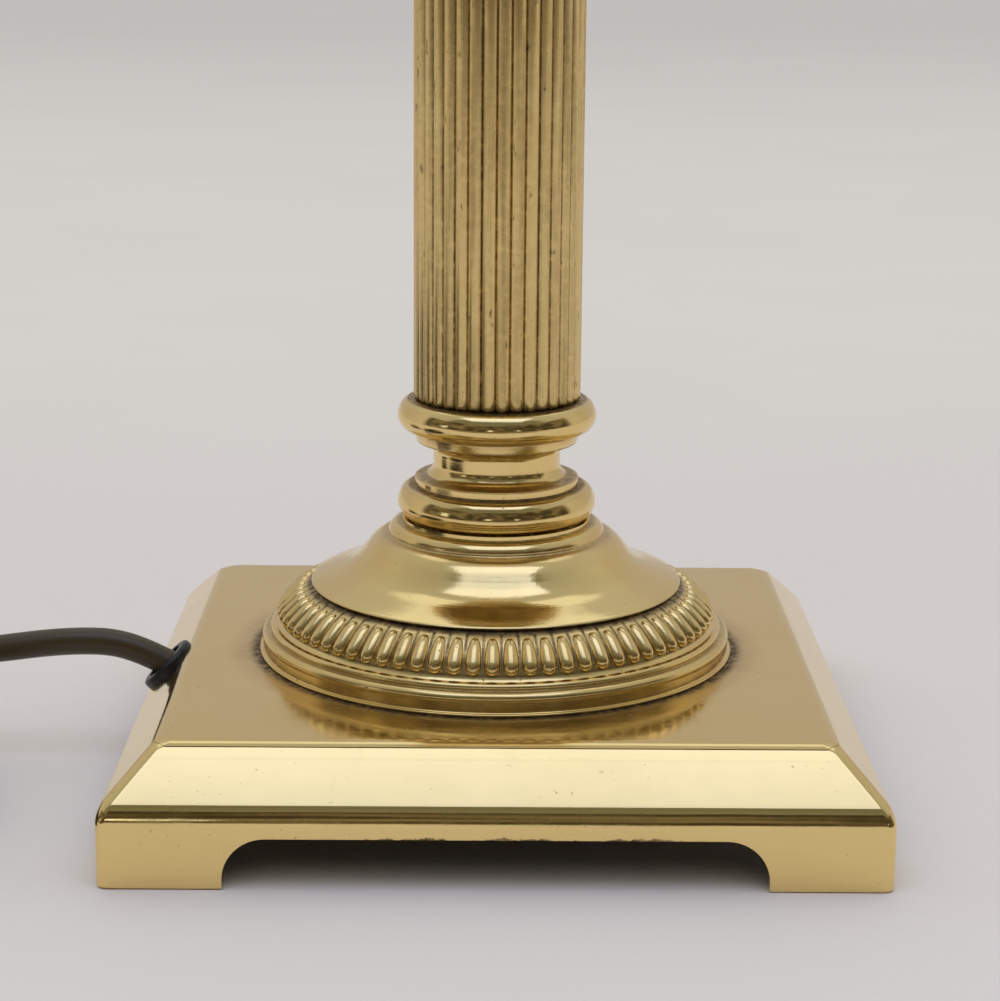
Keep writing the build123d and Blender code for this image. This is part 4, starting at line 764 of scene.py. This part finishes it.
bmesh.ops.spin(
    shaft, geom=one_reed, cent=(0, 0, 0), axis=(0, 0, 1), dvec=(0, 0, 0),
    angle=math.tau * (REEDS - 1) / REEDS, steps=REEDS - 1,
    use_merge=False, use_normal_flip=False, use_duplicate=True,
)
bmesh.ops.remove_doubles(shaft, verts=shaft.verts, dist=2e-5)
outline = list(shaft.verts)
print(len(outline), "points round the reeded column")


# %% Drawing the column up
def drawn(edges, height, scale=None, bore=None):
    """Extrudes a ring of edges to a height, narrowed by a scale or turned to a bore, in mm."""
    made = bmesh.ops.extrude_edge_only(shaft, edges=edges)["geom"]
    for vert in (v for v in made if isinstance(v, bmesh.types.BMVert)):
        across = Vector((vert.co.x, vert.co.y, 0))
        if bore:
            across = across.normalized() * bore * MM
        else:
            across = across * scale
        vert.co = across + Vector((0, 0, height * MM))
    return [edge for edge in made if isinstance(edge, bmesh.types.BMEdge)]


for vert in outline:
    vert.co = Vector((vert.co.x * 0.964, vert.co.y * 0.964, COLUMN_FOOT_Z * MM))
ring = drawn(list(shaft.edges), COLUMN_FOOT_Z + 0.25, 0.984 / 0.964)
ring = drawn(ring, COLUMN_FOOT_Z + 0.8, 1 / 0.984)
ring = drawn(ring, COLUMN_TOP_Z - 0.8, 1.0)
ring = drawn(ring, COLUMN_TOP_Z - 0.25, 0.984)
ring = drawn(ring, COLUMN_TOP_Z, 0.964 / 0.984)
ring = drawn(ring, COLUMN_TOP_Z, bore=COLUMN_BORE_R)
ring = drawn(ring, COLUMN_FOOT_Z, bore=COLUMN_BORE_R)
bmesh.ops.bridge_loops(shaft, edges=ring + [e for e in shaft.edges if e.is_boundary and e not in ring])
finished(shaft, "reeded_shaft", "reeded_column", column_brass, crisp=50)


# %% Finishes on the solid model's pieces
finishes = {
    "cord_grommet": rubber, "cord_clamp": steel, "clamp_screws": steel, "earth_tag": tinned,
    "earth_screw": turned_brass, "bottom_washer": steel, "bottom_nut": steel,
    "threaded_rod": turned_brass, "insulator": insulating, "contact_spring_front": wire,
    "contact_spring_back": wire, "terminal_screws": turned_brass, "flex_tail": sheath,
    "flex_cores": core_finish, "plug_cover": black_plastic, "plug_base": black_plastic,
    "plug_pins": turned_brass, "plug_screw": steel, "plug_fuse": fuse_body,
    "contact_plunger_front": turned_brass, "contact_plunger_back": turned_brass,
    "base_plinth": plinth_brass, "capital": capital_brass,
}
for node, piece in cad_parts.items():
    piece.data.materials.clear()
    piece.data.materials.append(finishes.get(node, polished))
print(len(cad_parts), "nodes have their finish")

# %% [markdown]
# The table is a pale sheet, painted dark brown far in front of the lamp where the metal mirrors it, as
# painted shade, and shown to the camera far behind the lamp as a glow that dims with distance, a painted
# fall-off of light. A very wide soft light hangs over the lamp, as in a shop's photograph, and the room in
# front of it is dim.
# Polished metal is only as good as what it mirrors, so the world has that dim room in it, and a pale wall
# behind.

# %% Table
bench = bmesh.new()
bmesh.ops.create_grid(bench, x_segments=1, y_segments=1, size=6.0)
table_mesh = bpy.data.meshes.new("table")
bench.to_mesh(table_mesh)
bench.free()
table_top = bpy.data.objects.new("table", table_mesh)
scene.collection.objects.link(table_top)
paper = Finish("pale paper", Roughness=0.8)
paper.shader.inputs["Specular IOR Level"].default_value = 0.1
floor_y = paper.axes()[1]
smudge = paper.noise(3.0, 4, 0.6)
paper_tone = paper.mix(smudge * 0.4, (0.78, 0.75, 0.725), (0.72, 0.69, 0.665))
# Where the metal mirrors the paper far in front of the lamp, the paper is painted dark brown: painted shade
# that the camera never sees.
far_front_painted_shade = (floor_y * -1).fade(0.42, 0.60)
camera_sees = paper.node("ShaderNodeLightPath", {}, {}, output="Is Camera Ray")
painted_shade_in_reflections = far_front_painted_shade * (1 - camera_sees)
paper.give("Base Color", paper.mix(painted_shade_in_reflections, paper_tone, (0.22, 0.18, 0.12)))
paper.bump(paper.noise(260, 4, 0.6), 0.0002)
far = floor_y.fade(0.12, 0.55)
# Far behind the lamp the camera sees the paper as a glow that dims with distance: a painted fall-off of
# light.
far_painted_falloff = paper.mix(floor_y.fade(0.6, 3.6), (0.66, 0.635, 0.612), (0.535, 0.513, 0.495))
cloudy = paper.mix(smudge.fade(0.35, 0.7) * 0.12, far_painted_falloff, (0.50, 0.485, 0.47))
plain = paper.node("ShaderNodeEmission", {}, {"Color": cloudy, "Strength": 1.0})
shown = paper.node(
    "ShaderNodeMixShader", {},
    {0: camera_sees * far, 1: Value(paper, paper.shader.outputs[0]), 2: plain},
)
paper.tree.links.new(shown.socket, paper.tree.nodes["Material Output"].inputs["Surface"])
table_mesh.materials.append(paper.material)

# %% World
world = bpy.data.worlds.new("room")
scene.world = world
world.use_nodes = True
room = world.node_tree
room.nodes.clear()


def room_node(kind, settings, inputs):
    """One node of the world's tree, with its settings first and its sockets after."""
    made = room.nodes.new(kind)
    for name, value in settings.items():
        setattr(made, name, value)
    for socket, value in inputs.items():
        if isinstance(value, bpy.types.NodeSocket):
            room.links.new(value, made.inputs[socket])
        else:
            made.inputs[socket].default_value = value
    return made


direction = room_node("ShaderNodeTexCoord", {}, {}).outputs["Generated"]
way = room_node("ShaderNodeSeparateXYZ", {}, {0: direction})


def between(value, low, high):
    """0 below low and 1 above high."""
    settings = {"interpolation_type": "SMOOTHSTEP"}
    return room_node("ShaderNodeMapRange", settings, {0: value, 1: low, 2: high}).outputs[0]


def blended(amount, first, second):
    """A colour between two colours of the room."""
    return room_node("ShaderNodeMix", {"data_type": "RGBA"}, {0: amount, 6: first, 7: second}).outputs[2]


def tone(value, red_tarnish_and_reflection=1.0, green=1.0, blue=1.0):
    """A grey of some brightness, tinted."""
    return (value * red_tarnish_and_reflection, value * green, value * blue, 1)


def joined(operation, first, second=0.0):
    """Arithmetic on two values of the room."""
    return room_node("ShaderNodeMath", {"operation": operation}, {0: first, 1: second}).outputs[0]


elevation = way.outputs[2]
frontward = joined("MULTIPLY", way.outputs[1], -1.0)
azimuth = joined("ARCTAN2", way.outputs[0], frontward)
from_front = joined("ABSOLUTE", azimuth)
backward = between(way.outputs[1], -0.6, 0.7)
ceiling = blended(backward, tone(0.42, 0.97, 1.0, 1.04), tone(0.55, 0.98, 1.0, 1.03))
side_wall = blended(backward, tone(0.74, 1.0, 0.98, 0.95), tone(0.50, 1.0, 0.94, 0.92))
wall = blended(between(elevation, 0.42, 0.66), side_wall, ceiling)
front_ceiling = between(frontward, 0.30, 0.46)
wall = blended(
    joined("MULTIPLY", front_ceiling, between(elevation, 0.40, 0.60)), wall, tone(0.20, 0.95, 1.0, 0.85)
)
blotches = room_node("ShaderNodeTexNoise", {}, {0: direction, "Scale": 5.0, "Detail": 4.0})
dark_room = blended(
    between(blotches.outputs[0], 0.42, 0.66), tone(0.05, 1.0, 0.85, 0.6), tone(0.24, 1.0, 0.86, 0.62)
)
dark_side = joined("SUBTRACT", 1.0, between(from_front, math.radians(88), math.radians(99)))
dark_height = joined("SUBTRACT", 1.0, between(elevation, 0.50, 0.56))
dim = joined("MULTIPLY", dark_side, dark_height)
seen_in_metal = blended(dim, wall, dark_room)


def window(lit_so_far, azimuth_at, height_at, half_across, half_up, colour):
    """A small bright opening in the dark room, by its direction in degrees."""
    across = joined("ABSOLUTE", joined("SUBTRACT", azimuth, math.radians(azimuth_at)))
    up = joined("ABSOLUTE", joined("SUBTRACT", elevation, math.sin(math.radians(height_at))))
    beside = between(across, math.radians(half_across * 0.8), math.radians(half_across))
    above = between(up, math.radians(half_up * 0.8), math.radians(half_up))
    outside = joined("MAXIMUM", beside, above)
    return blended(joined("SUBTRACT", 1.0, outside), lit_so_far, colour)


seen_in_metal = window(seen_in_metal, -9, 7, 2.6, 2.2, tone(1.5, 0.95, 1.0, 1.05))
seen_in_metal = window(seen_in_metal, 24, 7, 2.4, 2.0, tone(1.3, 0.95, 1.0, 1.05))
seen_in_metal = window(seen_in_metal, -62, 10, 4.5, 5.0, tone(1.0, 0.95, 1.0, 1.05))
backward_lean = joined("ARCTAN2", way.outputs[1], elevation)
behind_top = joined("MULTIPLY", between(backward_lean, math.radians(17), math.radians(20)), joined(
    "SUBTRACT", 1.0, between(backward_lean, math.radians(38), math.radians(42))))
narrow = joined("SUBTRACT", 1.0, between(joined("ABSOLUTE", way.outputs[0]), 0.34, 0.42))
seen_in_metal = blended(joined("MULTIPLY", behind_top, narrow), seen_in_metal, tone(0.95, 0.96, 1.0, 1.08))
lit = room_node("ShaderNodeBackground", {}, {0: seen_in_metal, 1: 1.0})
soft_room = room_node("ShaderNodeBackground", {}, {
    0: blended(dim, tone(0.90, 1.0, 0.965, 0.905), tone(0.10)), 1: 1.0,
})
backdrop = room_node("ShaderNodeBackground", {}, {0: tone(0.6), 1: 1.0})
light_path = room_node("ShaderNodeLightPath", {}, {})
shown = room_node(
    "ShaderNodeMixShader", {},
    {0: light_path.outputs["Is Camera Ray"], 1: lit.outputs[0], 2: backdrop.outputs[0]},
)
shown = room_node(
    "ShaderNodeMixShader", {},
    {0: light_path.outputs["Is Diffuse Ray"], 1: shown.outputs[0], 2: soft_room.outputs[0]},
)
room_node("ShaderNodeOutputWorld", {}, {0: shown.outputs[0]})


# %% Lamps
def soft_light(name, place, aim, width, depth, power, colour):
    """A rectangular soft light that looks at a point."""
    data = bpy.data.lights.new(name, "AREA")
    data.shape, data.size, data.size_y = "RECTANGLE", width, depth
    data.energy, data.color = power, colour
    made = bpy.data.objects.new(name, data)
    scene.collection.objects.link(made)
    made.matrix_world = Matrix.Translation(place) @ (Vector(aim) - Vector(place)).to_track_quat(
        "-Z", "Y"
    ).to_matrix().to_4x4()
    return made


LIGHT_STRENGTH = 1.0
light_across, light_deep = 1.0, 0.70
soft_light(
    "overhead", (0.0, -0.37, 1.1), (0, -0.05, 0), light_across, light_deep,
    LIGHT_STRENGTH * math.pi * light_across * light_deep, (0.72, 0.84, 1.36),
)

# %% Update the scene
bpy.context.view_layer.update()
